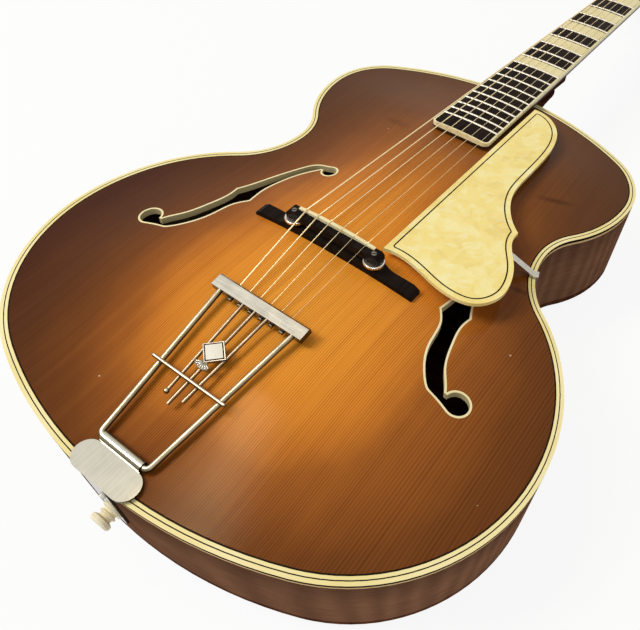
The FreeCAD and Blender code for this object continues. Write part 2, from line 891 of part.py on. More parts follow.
head = new_body(HEAD)
flare = s("head_flare_length")
head_start = s("nut_width") / 2 + 0.3
head_length = s("post_first_offset") + s("post_pitch") * 2 + s("head_end_margin")
post_spacing = s("head_lower_width") - s("post_margin") * 2
head_plan = [
    (-head_start, 0), (head_start, 0), (s("head_lower_width") / 2, flare),
    (s("head_top_width") / 2, head_length, 0, head_length + s("head_crown")),
    (-s("head_top_width") / 2, head_length), (-s("head_lower_width") / 2, flare)]
pad(head, "XY_Plane", head_plan, s("head_thickness"), -s("head_thickness"))
post_places = []
for side in (-1, 1):
    for rank in range(3):
        x = side * post_spacing / 2
        y = s("post_first_offset") + s("post_pitch") * rank
        post_places.append((side, rank, x, y))
holes = new_sketch(head, "XY_Plane")
for side, rank, x, y in post_places:
    draw_circle(holes, (x, y), s("bushing_radius"))
pocket = head.newObject("PartDesign::Pocket", "Pocket")
pocket.Profile = holes
pocket.Type = 1
pocket.Midplane = True
head.Tip = pocket
stub = new_body(NECK)
pad(stub, "YZ_Plane",
    [(-2, board_under), (s("nut_thickness") + 1.5, board_under - 0.4),
     (s("nut_thickness") + 4, board_under - s("head_thickness") - 1),
     (-2, board_under - s("neck_depth") + 1.5)],
    head_start * 2 - 3, 1.5 - head_start)


def cylinder(radius, height, place):
    rod = doc.addObject("Part::Cylinder", "Cylinder")
    rod.setExpression("Radius", as_size(radius).text)
    rod.setExpression("Height", as_size(height).text)
    rod.Placement = place
    return rod


def on_head(x, y, z, turn=None):
    return HEAD.multiply(Place(V(num(x), num(y), num(z)), turn if turn else Rot()))


def raw(shape):
    obj = doc.addObject("Part::Feature", "Tool")
    obj.Shape = shape
    return obj


def post_holes():
    return [cylinder(s("bushing_radius"), s("head_thickness") + 10, on_head(x, y, -s("head_thickness") - 5))
            for side, rank, x, y in post_places]


def body_room():
    """Space inside the rim, which the neck's heel is fitted against."""
    return raw(prism(0, -30, TOP))


tongue_room = Part.makeBox(200, 200, 80, V(-100, num(s("neck_reach")) - 199, TOP - 40))
tongue_fit = join("Part::Cut", [tongue, raw(below_skin.common(tongue_room))])
heel_fit = join("Part::Cut", [heel, body_room()])
keep(join("Part::MultiFuse", [shaft, tongue_fit, heel_fit, head, stub]), "neck")

cap = new_body(Place(V(0, num(s("neck_reach")), 0), Rot()))
pad(cap, "XY_Plane", heel_plan(s("heel_width") / 2, s("heel_length")), s("heel_cap_thickness"), back_edge)
keep(join("Part::Cut", [cap, body_room()]), "heel_cap")

veneer = new_body(HEAD)
pad(veneer, "XY_Plane", head_plan, s("veneer_thickness"))
keep(join("Part::Cut", [veneer, join("Part::Compound", post_holes())]), "headstock_veneer")

feature("neck_block", neck_block_shape)

# Tuning machines: open worm gears on two strip plates behind the headstock
head_back = -s("head_thickness")
plate_back = head_back - s("machine_plate_thickness")
gear_level = plate_back - s("gear_drop")
journal = s("shaft_radius") + s("running_clearance")
post_bore = s("post_radius") + s("running_clearance")
screw_bore = s("screw_shank_radius") + s("running_clearance")
worm_distance = s("gear_tip_radius") + s("worm_core_radius") + s("mesh_clearance")
gear_root = worm_distance - s("worm_tip_radius") - s("mesh_clearance") * 1.25
tab_spacing = s("machine_plate_width") - s("tab_thickness") - 0.4
contact_radius = (worm_distance - s("worm_tip_radius") + s("gear_tip_radius")) / 2
worm_pitch = contact_radius * (2 * math.pi) / s("gear_teeth")
screw_spots = [5 - s("machine_plate_end"), s("post_pitch") - 17,
               s("post_pitch") * 2 - 17, s("post_pitch") * 2 + 20]
SCREW_PROFILE = [
    (0, -s("screw_length")), (s("screw_shank_radius"), -s("screw_length") + 2), (s("screw_shank_radius"), 0),
    (s("screw_head_radius"), 0), (s("screw_head_radius") * 0.75, s("screw_head_height")),
    (0, s("screw_head_height"))]


def screw(place):
    body = new_body(place)
    revolve(body, SCREW_PROFILE)
    return body


bushings = []
plate_screws = []
for side, label in ((-1, "tuner_plate_bass"), (1, "tuner_plate_treble")):
    first = s("post_first_offset")
    x = side * post_spacing / 2
    half = s("machine_plate_width") / 2
    sheet_body = new_body(HEAD)
    reach = s("post_pitch") * 2 + s("machine_plate_end") + 8
    plate_plan = box_points(x - half, x + half, first - s("machine_plate_end"), first + reach)
    pad(sheet_body, "XY_Plane", plate_plan, s("machine_plate_thickness"), plate_back)
    tabs = [sheet_body]
    bores = []
    for rank in range(3):
        y = first + s("post_pitch") * rank
        axis_y = y + worm_distance
        for end in (-1, 1):
            tab_x = x + end * tab_spacing / 2
            tab = new_body(HEAD)
            pad(tab, "XY_Plane", box_points(tab_x - s("tab_thickness") / 2, tab_x + s("tab_thickness") / 2,
                                            axis_y - s("tab_width") / 2, axis_y + s("tab_width") / 2),
                s("gear_drop") + s("tab_width") / 2, gear_level - s("tab_width") / 2)
            tabs.append(tab)
        bores.append(cylinder(journal, tab_spacing + 10,
                              on_head(x - tab_spacing / 2 - 5, axis_y, gear_level, Rot(Y_AXIS, 90))))
        bores.append(cylinder(post_bore, 12, on_head(x, y, head_back - 6)))
    for spot in screw_spots:
        bores.append(cylinder(screw_bore, 6, on_head(x, first + spot, head_back - 4)))
        plate_screws.append(screw(on_head(x, first + spot, plate_back, Rot(X_AXIS, 180))))
    keep(join("Part::Cut", [join("Part::MultiFuse", tabs), join("Part::Compound", bores)]), label)

for number, (side, rank, x, y) in enumerate(post_places, 1):
    bush = new_body(on_head(x, y, 0))
    rim = s("veneer_thickness") + s("bushing_flange_height")
    revolve(bush, [(post_bore, head_back), (s("bushing_radius"), head_back),
                   (s("bushing_radius"), s("veneer_thickness")),
                   (s("bushing_flange_radius"), s("veneer_thickness")),
                   (s("bushing_flange_radius") - 0.6, rim), (post_bore, rim)])
    bushings.append(bush)

    post = new_body(on_head(x, y, 0))
    foot = gear_level - s("gear_width") / 2 - 1
    waist = s("post_radius") * 0.83
    top = s("post_rise")
    revolve(post, [(0, foot), (s("post_radius"), foot), (s("post_radius"), top - 14), (waist, top - 12.5),
                   (waist, top - 5.5), (s("post_radius"), top - 4), (s("post_radius"), top - 0.8),
                   (s("post_radius") - 0.8, top), (0, top)])
    gear_low = gear_level - s("gear_width") / 2
    wheel = draw_circle(new_sketch(post, "XY_Plane", gear_low), (0, 0), gear_root)
    pad_sketch(post, wheel, s("gear_width"))
    tooth = draw(new_sketch(post, "XY_Plane", gear_low),
                 [(-0.75, gear_root - 0.3), (0.75, gear_root - 0.3),
                  (0.35, s("gear_tip_radius")), (-0.35, s("gear_tip_radius"))])
    tooth_pad = pad_sketch(post, tooth, s("gear_width"))
    teeth = post.newObject("PartDesign::PolarPattern", "Teeth")
    teeth.Originals = [tooth_pad]
    teeth.Axis = (tooth, ["N_Axis"])
    teeth.Angle = 360
    teeth.setExpression("Occurrences", "sizes.gear_teeth")
    post.Tip = teeth
    doc.recompute()
    pocket_circle(post, "XZ_Plane", (0, top - 9.5), 0.9)
    keep(post, "string_post_%d" % number)

    turn = Rot(X_AXIS, 180) if side > 0 else Rot(Z_AXIS, 180)
    axis_place = on_head(x, y + worm_distance, gear_level, turn)
    outer = s("head_top_width") / 2 + s("shaft_overhang") - post_spacing / 2
    core_end = tab_spacing / 2 - s("tab_thickness") / 2 - 0.3
    worm = new_body(axis_place)
    spindle = draw(new_sketch(worm, "XY_Plane"),
                   [(-tab_spacing / 2 - 2, 0), (outer, 0), (outer, s("shaft_radius")),
                    (core_end, s("shaft_radius")), (core_end, s("worm_core_radius")),
                    (-core_end, s("worm_core_radius")), (-core_end, s("shaft_radius")),
                    (-tab_spacing / 2 - 2, s("shaft_radius"))])
    spin = worm.newObject("PartDesign::Revolution", "Revolution")
    spin.Profile = spindle
    spin.ReferenceAxis = (spindle, ["H_Axis"])
    spin.Angle = 360
    worm.Tip = spin
    start = -worm_pitch * 1.5
    ridge = draw(new_sketch(worm, "XY_Plane"),
                 [(start - 0.6, s("worm_core_radius") - 0.3), (start + 0.6, s("worm_core_radius") - 0.3),
                  (start + 0.35, s("worm_tip_radius")), (start - 0.35, s("worm_tip_radius"))])
    thread = worm.newObject("PartDesign::AdditiveHelix", "Thread")
    thread.Profile = ridge
    thread.ReferenceAxis = (ridge, ["H_Axis"])
    thread.Mode = 0
    thread.setExpression("Pitch", worm_pitch.text)
    thread.setExpression("Height", (worm_pitch * 3).text)
    thread.Angle = 0
    thread.LeftHanded = False
    thread.Reversed = False
    worm.Tip = thread
    keep(worm, "worm_shaft_%d" % number)

    button = new_body(axis_place)
    half = s("button_width") / 2
    near = outer + s("button_length") * 0.35
    far = outer + s("button_length") * 0.8
    pad(button, "XY_Plane",
        [(outer, -3, near, -half), (far, -half * 0.85, outer + s("button_length"), 0),
         (far, half * 0.85, near, half), (outer, 3)], s("button_thickness"), -s("button_thickness") / 2)
    keep(button, "tuner_button_%d" % number)
keep(join("Part::Compound", bushings), "post_bushings")
keep(join("Part::Compound", plate_screws), "tuner_screws")

# Bridge: base fitted to the arch, two studs, two thumbwheels, saddle with its insert
string_line = NECK.multVec(V(0, -scale, num(s("string_height_at_saddle")))).z
bridge_y = -num(s("bridge_setback"))
arch_mid = top_height(0, bridge_y)
wing = s("bridge_wing_length")
half = s("saddle_length") / 2 + wing
stud_x = s("saddle_length") / 2 - s("stud_margin")
arch_end = top_height(num(half), bridge_y)
arch_stud = top_height(num(stud_x), bridge_y)
base_top = s("bridge_base_height") + arch_mid
flat = s("saddle_length") / 2 + 1
base = new_body()
end_top = s("bridge_end_height") + arch_end
pad(base, "XZ_Plane",
    [(-half, arch_end - 12), (half, arch_end - 12), (half, end_top - 3), (half - wing * 0.16, end_top),
     (half - wing * 0.58, end_top + 0.6, flat + wing * 0.16, end_top + 1.4), (flat, base_top),
     (-flat, base_top, -flat - wing * 0.16, end_top + 1.4),
     (wing * 0.58 - half, end_top + 0.6), (wing * 0.16 - half, end_top), (-half, end_top - 3)],
    s("bridge_base_width"), s("bridge_setback") - s("bridge_base_width") / 2)
base_cut = join("Part::Cut", [base, raw(below_skin)])
stud_low = arch_stud + 1.5
saddle_low = base_top + s("wheel_gap") + s("wheel_thickness")
insert_half = s("saddle_length") / 2 - s("insert_margin")
insert_sag = insert_half * insert_half / 2 / s("board_radius")
insert_low = string_line - s("insert_height") - insert_sag
saddle_top = insert_low + 1
STUD_PROUD = 0.6
stud_height = saddle_top + STUD_PROUD - stud_low
sockets = []
studs = []
for side in (-1, 1):
    at = Place(V(side * num(stud_x), bridge_y, num(stud_low)), Rot())
    sockets.append(cylinder(s("stud_radius"), stud_height, at))
    studs.append(cylinder(s("stud_radius"), stud_height, at))
keep(join("Part::Cut", [base_cut, join("Part::Compound", sockets)]), "bridge_base")
keep(join("Part::Compound", studs), "bridge_studs")

stud_bore = s("stud_radius") + s("running_clearance")
for side, label in ((-1, "thumbwheel_bass"), (1, "thumbwheel_treble")):
    wheel = new_body(Place(V(side * num(stud_x), bridge_y, num(base_top + s("wheel_gap"))), Rot()))
    revolve(wheel, [(stud_bore, 0), (s("wheel_radius") - 0.4, 0), (s("wheel_radius"), 0.4),
                    (s("wheel_radius"), s("wheel_thickness") - 0.4),
                    (s("wheel_radius") - 0.4, s("wheel_thickness")), (stud_bore, s("wheel_thickness"))])
    keep(wheel, label)

saddle_half = s("saddle_length") / 2
saddle = new_body()
front = -s("insert_width") / 2 - 0.2
pad(saddle, "XZ_Plane",
    [(-saddle_half, saddle_low), (saddle_half, saddle_low), (saddle_half, saddle_top - 2.2),
     (saddle_half - 2.2, saddle_top), (2.2 - saddle_half, saddle_top), (-saddle_half, saddle_top - 2.2)],
    s("saddle_width"), front)
bone_slot = doc.addObject("Part::Box", "Slot")
bone_slot.setExpression("Length", (insert_half * 2).text)
bone_slot.setExpression("Width", "sizes.insert_width")
bone_slot.Height = 6
bone_slot.Placement = Place(V(-num(insert_half), -num(s("insert_width")) / 2, num(insert_low)), Rot())
stud_rooms = []
for side in (-1, 1):
    at = Place(V(side * num(stud_x), bridge_y, num(saddle_low)), Rot())
    stud_rooms.append(cylinder(stud_bore, saddle_top - saddle_low + 1, at))
keep(join("Part::Cut", [saddle, join("Part::Compound", stud_rooms + [bone_slot])]), "bridge_saddle")
insert = new_body()
pad(insert, "XZ_Plane",
    [(-insert_half, insert_low), (insert_half, insert_low),
     (insert_half, string_line - insert_sag, 0, string_line), (-insert_half, string_line - insert_sag)],
    s("insert_width"), -s("insert_width") / 2)
keep(insert, "saddle_insert")

# Trapeze tailpiece, hinged on a rolled knuckle at the tail
hinge_offset = s("tail_reach") - s("hinge_setback")
hinge_y = -num(hinge_offset)
hinge_z = TOP + num(s("hinge_height"))
bar_reach = -hinge_y - num(s("bar_offset"))
lean = math.atan2(num(s("bar_height")) - num(s("hinge_height")), bar_reach)
FRAME = Place(V(0, hinge_y, hinge_z), Rot(X_AXIS, math.degrees(lean)))
bar_run = bar_reach / math.cos(lean)
bar_low = bar_run - num(s("bar_width")) / 2


def fillet_route(points, radius):
    """Straight runs joined by tangent arcs."""
    edges = []
    here = points[0]
    for before, corner, after in zip(points, points[1:], points[2:]):
        back = (before - corner).normalize()
        ahead = (after - corner).normalize()
        opening = back.getAngle(ahead)
        trim = radius / math.tan(opening / 2)
        enter = corner + back * trim
        leave = corner + ahead * trim
        middle = (back + ahead).normalize()
        over = corner + middle * (radius / math.sin(opening / 2) - radius)
        edges.append(Part.LineSegment(here, enter).toShape())
        edges.append(Part.Arc(enter, over, leave).toShape())
        here = leave
    edges.append(Part.LineSegment(here, points[-1]).toShape())
    return edges


def tube(edges, radius):
    path = Part.Wire(edges)
    start = edges[0].valueAt(edges[0].FirstParameter)
    along = edges[0].tangentAt(edges[0].FirstParameter)
    ring_wire = Part.Wire(Part.Circle(start, along, radius).toShape())
    return path.makePipeShell([ring_wire], True, False)


wire_radius = num(s("frame_wire_radius"))
low_half = num(s("frame_lower_width")) / 2
high_half = num(s("frame_upper_width")) / 2
frame_corners = [V(-high_half, bar_low, 0), V(-low_half, 0, 0), V(low_half, 0, 0), V(high_half, bar_low, 0)]
frame_route = fillet_route(frame_corners, num(s("frame_bend_radius")))
bar_room = Part.makeBox(4 * high_half, 40, 12, V(-2 * high_half, bar_low, -6))
feature("tailpiece_frame", tube(frame_route, wire_radius).cut(bar_room), FRAME)

bar = new_body(FRAME)
bar_half = s("bar_length") / 2
thick = s("bar_thickness") / 2
pad(bar, "YZ_Plane",
    [(bar_low, -thick), (bar_low + s("bar_width"), -thick), (bar_low + s("bar_width"), thick - 1.5),
     (bar_low + s("bar_width") - 1.5, thick), (bar_low, thick)], s("bar_length"), -bar_half)
keep(bar, "tailpiece_bar")

rod_radius = num(s("rod_radius"))
cross_radius = num(s("cross_wire_radius"))
cross_lift = wire_radius + cross_radius
rod_lift = cross_lift - cross_radius - rod_radius
rods = []
for place_number in (-1, 0, 1):
    upper = V(place_number * num(s("rod_upper_spacing")), bar_low, rod_lift)
    rod_run = bar_low * num(s("rod_share") if place_number else s("middle_rod_share"))
    lower = V(place_number * num(s("rod_lower_spacing")), bar_low - rod_run, rod_lift)
    rods.append(Part.makeCylinder(rod_radius, (lower - upper).Length, lower, upper - lower))
cross_run = bar_run * num(s("cross_wire_share"))
cross_half = num(s("cross_wire_length")) / 2
cross = Part.makeCylinder(cross_radius, 2 * cross_half, V(-cross_half, cross_run, cross_lift), X_AXIS)
rods = [rod.cut(bar_room) for rod in rods]
feature("tailpiece_rods", Part.makeCompound(rods + [cross]), FRAME)

badge = new_body(FRAME)
badge_run = bar_run * num(s("badge_share"))
wide = s("badge_width") / 2
tall = s("badge_length") / 2
badge_low = rod_lift + rod_radius
pad(badge, "XY_Plane", [(0, badge_run - tall), (wide, badge_run), (0, badge_run + tall), (-wide, badge_run)],
    s("badge_thickness"), badge_low)
fan_neck = badge_run - tall * 0.83
fan_side = badge_run - tall * 1.26
fan_end = badge_run - tall * 1.47
pad(badge, "XY_Plane",
    [(wide * 0.15, fan_neck), (wide * 0.57, fan_side, 0, fan_end), (-wide * 0.57, fan_side),
     (-wide * 0.15, fan_neck)], s("badge_thickness"), badge_low)
keep(badge, "tailpiece_badge")

# Hinge plate: stadium on the top, arm down the tail, knuckle around the frame's lower wire
sheet_low = top_edge + s("hinge_height") - s("frame_wire_radius") - s("running_clearance") - s("hinge_wall")
knuckle = s("frame_wire_radius") + s("running_clearance") + s("hinge_wall")
arm_face = s("tail_reach") + s("plate_sheet")
plate_half = s("plate_width") / 2
inner_edge = -hinge_offset - 3.5
end_half = (arm_face + inner_edge) / 2
stadium = new_body()
pad(stadium, "XY_Plane",
    [(end_half - plate_half, -arm_face),
     (plate_half - end_half, -arm_face, plate_half, end_half - arm_face),
     (plate_half - end_half, inner_edge),
     (end_half - plate_half, inner_edge, -plate_half, inner_edge - end_half)], s("plate_sheet"), sheet_low)
leaf = new_body()
leaf_half = s("frame_lower_width") / 2 - s("frame_bend_radius") - s("hinge_end_gap")
pad(leaf, "XY_Plane", box_points(-leaf_half, leaf_half, inner_edge - 1, -hinge_offset),
    s("plate_sheet"), sheet_low)
arm = new_body()
pin_level = top_edge - s("end_pin_drop")
screw_step = s("end_pin_head_radius") + s("screw_head_radius") + 0.9
arm_low = pin_level - screw_step - 3
arm_half = s("plate_arm_width") / 2
pad(arm, "XY_Plane", box_points(-arm_half, arm_half, -arm_face, -s("tail_reach")),
    sheet_low - arm_low + 1, arm_low)
across = Rot(Y_AXIS, 90)
roll = cylinder(knuckle, leaf_half * 2, Place(V(-num(leaf_half), hinge_y, hinge_z), across))
pin_room = cylinder(s("frame_wire_radius") + s("running_clearance"), leaf_half * 2 + 20,
                    Place(V(-num(leaf_half) - 10, hinge_y, hinge_z), across))
outwards = Rot(X_AXIS, 90)
pin_z = num(pin_level)
shank_length = num(s("plate_sheet")) + num(s("rim_thickness")) + 12


def pin_hole():
    return cylinder(s("end_pin_shank_radius"), 60, Place(V(0, -num(s("tail_reach")) + 30, pin_z), outwards))


arm_screws = [pin_z + 2 * num(screw_step), pin_z - num(screw_step)]
arm_holes = [cylinder(screw_bore, 10,
                      Place(V(0, -num(s("tail_reach")) + 4, level), outwards)) for level in arm_screws]
keep(join("Part::Cut", [join("Part::MultiFuse", [stadium, leaf, arm, roll]),
                        join("Part::Compound", [pin_room, pin_hole()] + arm_holes)]), "tailpiece_plate")
for side, label in ((-1, "rim_bass"), (1, "rim_treble")):
    keep(join("Part::Cut", [rim_half(side), pin_hole()]), label)
tail_raw = raw(tail_block_shape)
keep(join("Part::Cut", [tail_raw, pin_hole()]), "tail_block")

end_pin = new_body(Place(V(0, -num(arm_face), pin_z), outwards))
head = s("end_pin_head_radius")
length = s("end_pin_length")
shank = s("end_pin_shank_radius")
neck = s("end_pin_neck_radius")
collar = (head + neck) / 2
revolve(end_pin, [(0, -shank_length), (shank, -shank_length), (shank, 0), (head, 0), (head, length * 0.1),
                  (neck, length * 0.18), (neck, length * 0.26), (collar, length * 0.32), (collar, length * 0.4),
                  (neck, length * 0.46), (neck, length * 0.6), (head, length * 0.7), (head, length * 0.9),
                  (head - length * 0.1, length), (0, length)])
keep(end_pin, "end_pin")

# Pickguard floating over the top, held by a block at the neck and a strip at the waist
GUARD_START = 10
guard_length = num(s("neck_reach")) - GUARD_START - num(s("guard_setback"))
guard_span = guard_length + 3
guard_drop = num(s("guard_bridge_height")) - num(s("guard_neck_height"))
guard_lean = math.degrees(math.atan2(guard_drop, guard_span))
GUARD = Place(V(0, GUARD_START, TOP + num(s("guard_bridge_height"))), Rot(X_AXIS, -guard_lean))
edge = num(s("guard_edge"))
guard = new_body(GUARD)
plan = new_sketch(guard, "XY_Plane")
GUARD_POINT = (102.6, 0.331)
lobe = [(edge, 0.012), (48, 0.018), (64, 0.005), (81, -0.016), (97, -0.024), (111, -0.012), (119.6, 0.021),
        (124.1, 0.07), (123, 0.129), (116, 0.2), (105.8, 0.265), (102.6, 0.303), GUARD_POINT]
bay = [GUARD_POINT, (91.4, 0.375), (82.6, 0.432), (77.2, 0.498), (75.8, 0.59), (76, 0.693), (74.4, 0.815),
       (68, 0.907), (55.6, 0.971), (edge + 1.5, 1)]
lobe = [(x, share * guard_length) for x, share in lobe]
bay = [(x, share * guard_length) for x, share in bay]
for points in (lobe, bay):
    curve = Part.BSplineCurve()
    curve.interpolate([V(x, y, 0) for x, y in points])
    plan.addGeometry(curve, False)
plan.addGeometry(Part.LineSegment(V(bay[-1][0], bay[-1][1], 0), V(lobe[0][0], lobe[0][1], 0)), False)
pad_sketch(guard, plan, s("guard_thickness"))
keep(guard, "pickguard")

prop = new_body(GUARD)
pad(prop, "XY_Plane", box_points(s("guard_edge") + 4, s("guard_edge") + 16, guard_length - 37,
                                 guard_length - 13), 22, -22)
keep(join("Part::Cut", [prop, raw(below_skin)]), "pickguard_block")


def rim_spot(y):
    """Outer rim point on the treble waist at a distance from the saddle, with its outward direction."""
    centre, radius, start, end = outline_arcs(0)[3]
    drop = y - centre[1]
    x = centre[0] - math.sqrt(radius * radius - drop * drop)
    return V(x, y, 0), (V(centre[0], centre[1], 0) - V(x, y, 0)).normalize()


spot, outward = rim_spot(num(s("neck_reach")) * num(s("waist_share")) - 23.5)
heading_angle = math.degrees(math.atan2(outward.y, outward.x))
strip_gap = 0.3
STRIP = Place(V(spot.x, spot.y, TOP) + outward * strip_gap, Rot(Z_AXIS, heading_angle))
guard_under = num(s("guard_bridge_height")) - (num(spot.y) - 16) * math.tan(math.radians(guard_lean))
sheet_t = s("bracket_thickness")
strip = new_body(STRIP)
pad(strip, "XZ_Plane",
    [(-34, guard_under - sheet_t - 0.6), (-22, guard_under - sheet_t - 0.8), (-3, 1.2), (0, 1.2),
     (0, -s("bracket_drop")), (sheet_t, -s("bracket_drop")), (sheet_t, 1.2 + sheet_t), (-2.4, 1.2 + sheet_t),
     (-21.5, guard_under - 0.8), (-34, guard_under - 0.4)], s("bracket_width"), -s("bracket_width") / 2)
foot_hole = cylinder(screw_bore, 12,
                     STRIP.multiply(Place(V(-5, 0, -num(s("bracket_drop")) + 6), Rot(Y_AXIS, 90))))
keep(join("Part::Cut", [strip, foot_hole]), "pickguard_bracket")
hull_screws = [screw(Place(V(0, -num(arm_face), level), outwards)) for level in arm_screws]
foot = Place(V(num(sheet_t), 0, -num(s("bracket_drop")) + 6), Rot(Y_AXIS, 90))
hull_screws.append(screw(STRIP.multiply(foot)))
keep(join("Part::Compound", hull_screws), "body_screws")

# Strings: bar, saddle, nut, then around the posts
GAP = 0.25
END_GAP = 0.1
wound = []
plain = []
back_to_head = HEAD.inverse()
bar_spread = 46.0
post_order = (0, 1, 2, 5, 4, 3)
thick = num(s("string_thickest"))
thin = num(s("string_thinnest"))
waist_radius = num(s("post_radius")) * 0.83
for index in range(6):
    radius = thick * (thin / thick) ** (index / 5) / 2
    share = index / 5 - 0.5
    bar_x = share * bar_spread
    saddle_x = share * num(s("string_spread_bridge"))
    nut_x = share * num(s("string_spread_nut"))
    start = FRAME.multVec(V(bar_x, bar_low + num(s("bar_width")) + END_GAP, 0))
    over_saddle = V(saddle_x, 0, string_line - saddle_x ** 2 / 2 / board_radius + radius + GAP)
    drop = NUT_CROWN * (nut_x / num(nut_half)) ** 2
    nut_level = num(s("nut_rise")) - drop + radius + GAP
    over_nut = NECK.multVec(V(nut_x, num(s("nut_thickness")) - 0.5, nut_level))
    side, rank, post_x, post_y = post_places[post_order[index]]
    local = back_to_head.multVec(over_nut)
    centre = V(num(post_x), num(post_y), local.z)
    wrap = waist_radius + radius + 0.3
    to_post = centre - local
    reach = to_post.Length
    bearing = math.atan2(to_post.y, to_post.x)
    swing = math.asin(wrap / reach)
    run = math.sqrt(reach * reach - wrap * wrap)
    leave = bearing + side * swing
    touch = local + heading(math.degrees(leave)) * run
    from_centre = math.atan2(touch.y - centre.y, touch.x - centre.x)
    turn_to = -side * math.radians(250)
    wrap_points = []
    for share in (0, 0.5, 1):
        turned = math.degrees(from_centre + turn_to * share)
        wrap_points.append(centre + heading(turned) * wrap)
    edges = fillet_route([start, over_saddle, over_nut, HEAD.multVec(touch)], 4.0)
    edges.append(Part.Arc(*[HEAD.multVec(p) for p in wrap_points]).toShape())
    (wound if index < 4 else plain).append(tube(edges, radius))
feature("strings_wound", Part.makeCompound(wound))
feature("strings_plain", Part.makeCompound(plain))

doc.recompute()
os.makedirs("parts", exist_ok=True)
bad = [(obj.Label, obj.TypeId, obj.getStatusString(), [o.Label for o in obj.InList]) for obj in doc.Objects
       if "Invalid" in obj.State or "Error" in obj.State]
if bad:
    raise RuntimeError("features that failed: %s" % bad)
for label in sorted(nodes):
    shape = nodes[label].Shape
    if shape.isNull() or not shape.isValid():
        raise RuntimeError("bad shape: " + label)
    shape.exportStep("parts/%s.step" % label)
    box = shape.BoundBox
    print("%-22s solids %2d  volume %10.1f  x %.1f %.1f  y %.1f %.1f  z %.1f %.1f" % (
        label, len(shape.Solids), shape.Volume, box.XMin, box.XMax, box.YMin, box.YMax, box.ZMin, box.ZMax))
print("nodes", len(nodes))
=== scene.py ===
import math

import bmesh
import bpy
from mathutils import Matrix, Vector


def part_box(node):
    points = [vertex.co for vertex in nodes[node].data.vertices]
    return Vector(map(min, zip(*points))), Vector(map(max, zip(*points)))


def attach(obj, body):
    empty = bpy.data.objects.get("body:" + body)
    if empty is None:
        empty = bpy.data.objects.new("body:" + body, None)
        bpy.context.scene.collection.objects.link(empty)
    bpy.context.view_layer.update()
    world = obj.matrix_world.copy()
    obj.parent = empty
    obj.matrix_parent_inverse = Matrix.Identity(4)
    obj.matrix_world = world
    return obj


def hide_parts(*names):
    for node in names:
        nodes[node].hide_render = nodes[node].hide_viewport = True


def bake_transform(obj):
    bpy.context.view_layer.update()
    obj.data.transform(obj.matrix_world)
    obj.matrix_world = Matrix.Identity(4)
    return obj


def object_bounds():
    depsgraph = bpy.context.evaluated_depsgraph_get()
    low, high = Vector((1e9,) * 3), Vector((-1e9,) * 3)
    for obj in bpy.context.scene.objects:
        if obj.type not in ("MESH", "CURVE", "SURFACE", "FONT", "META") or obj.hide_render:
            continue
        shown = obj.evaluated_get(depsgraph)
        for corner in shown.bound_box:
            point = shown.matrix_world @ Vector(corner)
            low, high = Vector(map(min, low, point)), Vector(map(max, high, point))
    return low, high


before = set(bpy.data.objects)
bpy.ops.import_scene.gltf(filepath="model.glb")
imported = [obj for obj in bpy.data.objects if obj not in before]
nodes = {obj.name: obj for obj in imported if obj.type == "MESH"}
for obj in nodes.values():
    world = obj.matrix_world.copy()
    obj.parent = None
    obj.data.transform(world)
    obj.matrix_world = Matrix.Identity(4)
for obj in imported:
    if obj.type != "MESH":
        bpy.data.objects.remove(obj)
cad_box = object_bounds()

# Body, neck and nut as in the solids, in metres and radians
TOP_EDGE = 0.097
NECK_ANGLE = math.radians(3.07)
HEAD_TILT = math.radians(14.0)
SCALE_LENGTH = 0.640
NECK_REACH = 0.283
BOARD_RISE = 0.0147
BOARD_THICKNESS = 0.0065
BOARD_RADIUS = 0.300
NUT_THICKNESS = 0.005
NUT_HALF = 0.0212
NUT_RISE = 0.0016
NUT_CROWN = 0.0006

# Tailpiece as in the solids: axis of its hinge, lean of its wire frame, and the string bar along the frame
HINGE = Vector((0, -0.1995, 0.1018))
FRAME_LEAN = math.radians(8.26)
BAR_LOW = 0.11449
BAR_WIDTH = 0.0105
BAR_THICKNESS = 0.0056

# Places with their own axes: the nut, the head behind it and the tailpiece
NUT_AT = Vector((0, SCALE_LENGTH * math.cos(NECK_ANGLE), 0))
NUT_AT.z = TOP_EDGE + BOARD_RISE - (NUT_AT.y - NECK_REACH) * math.tan(NECK_ANGLE)
NECK = Matrix.Translation(NUT_AT) @ Matrix.Rotation(-NECK_ANGLE, 4, "X")
HEAD = NECK @ Matrix.Translation((0, NUT_THICKNESS, -BOARD_THICKNESS)) @ Matrix.Rotation(-HEAD_TILT, 4, "X")
TAIL = Matrix.Translation(HINGE) @ Matrix.Rotation(FRAME_LEAN, 4, "X")


def srgb(red, green, blue):
    """Colour as seen on screen, 0 to 255, as linear light."""
    def channel(value):
        value /= 255
        return value / 12.92 if value <= 0.04045 else ((value + 0.055) / 1.055) ** 2.4

    return (channel(red), channel(green), channel(blue), 1)


def grey(level):
    """Neutral colour of a linear brightness."""
    return (level, level, level, 1)


def mixed(first, second, share):
    """Colour part of the way from the first to the second."""
    return tuple(a + (b - a) * share for a, b in zip(first, second))


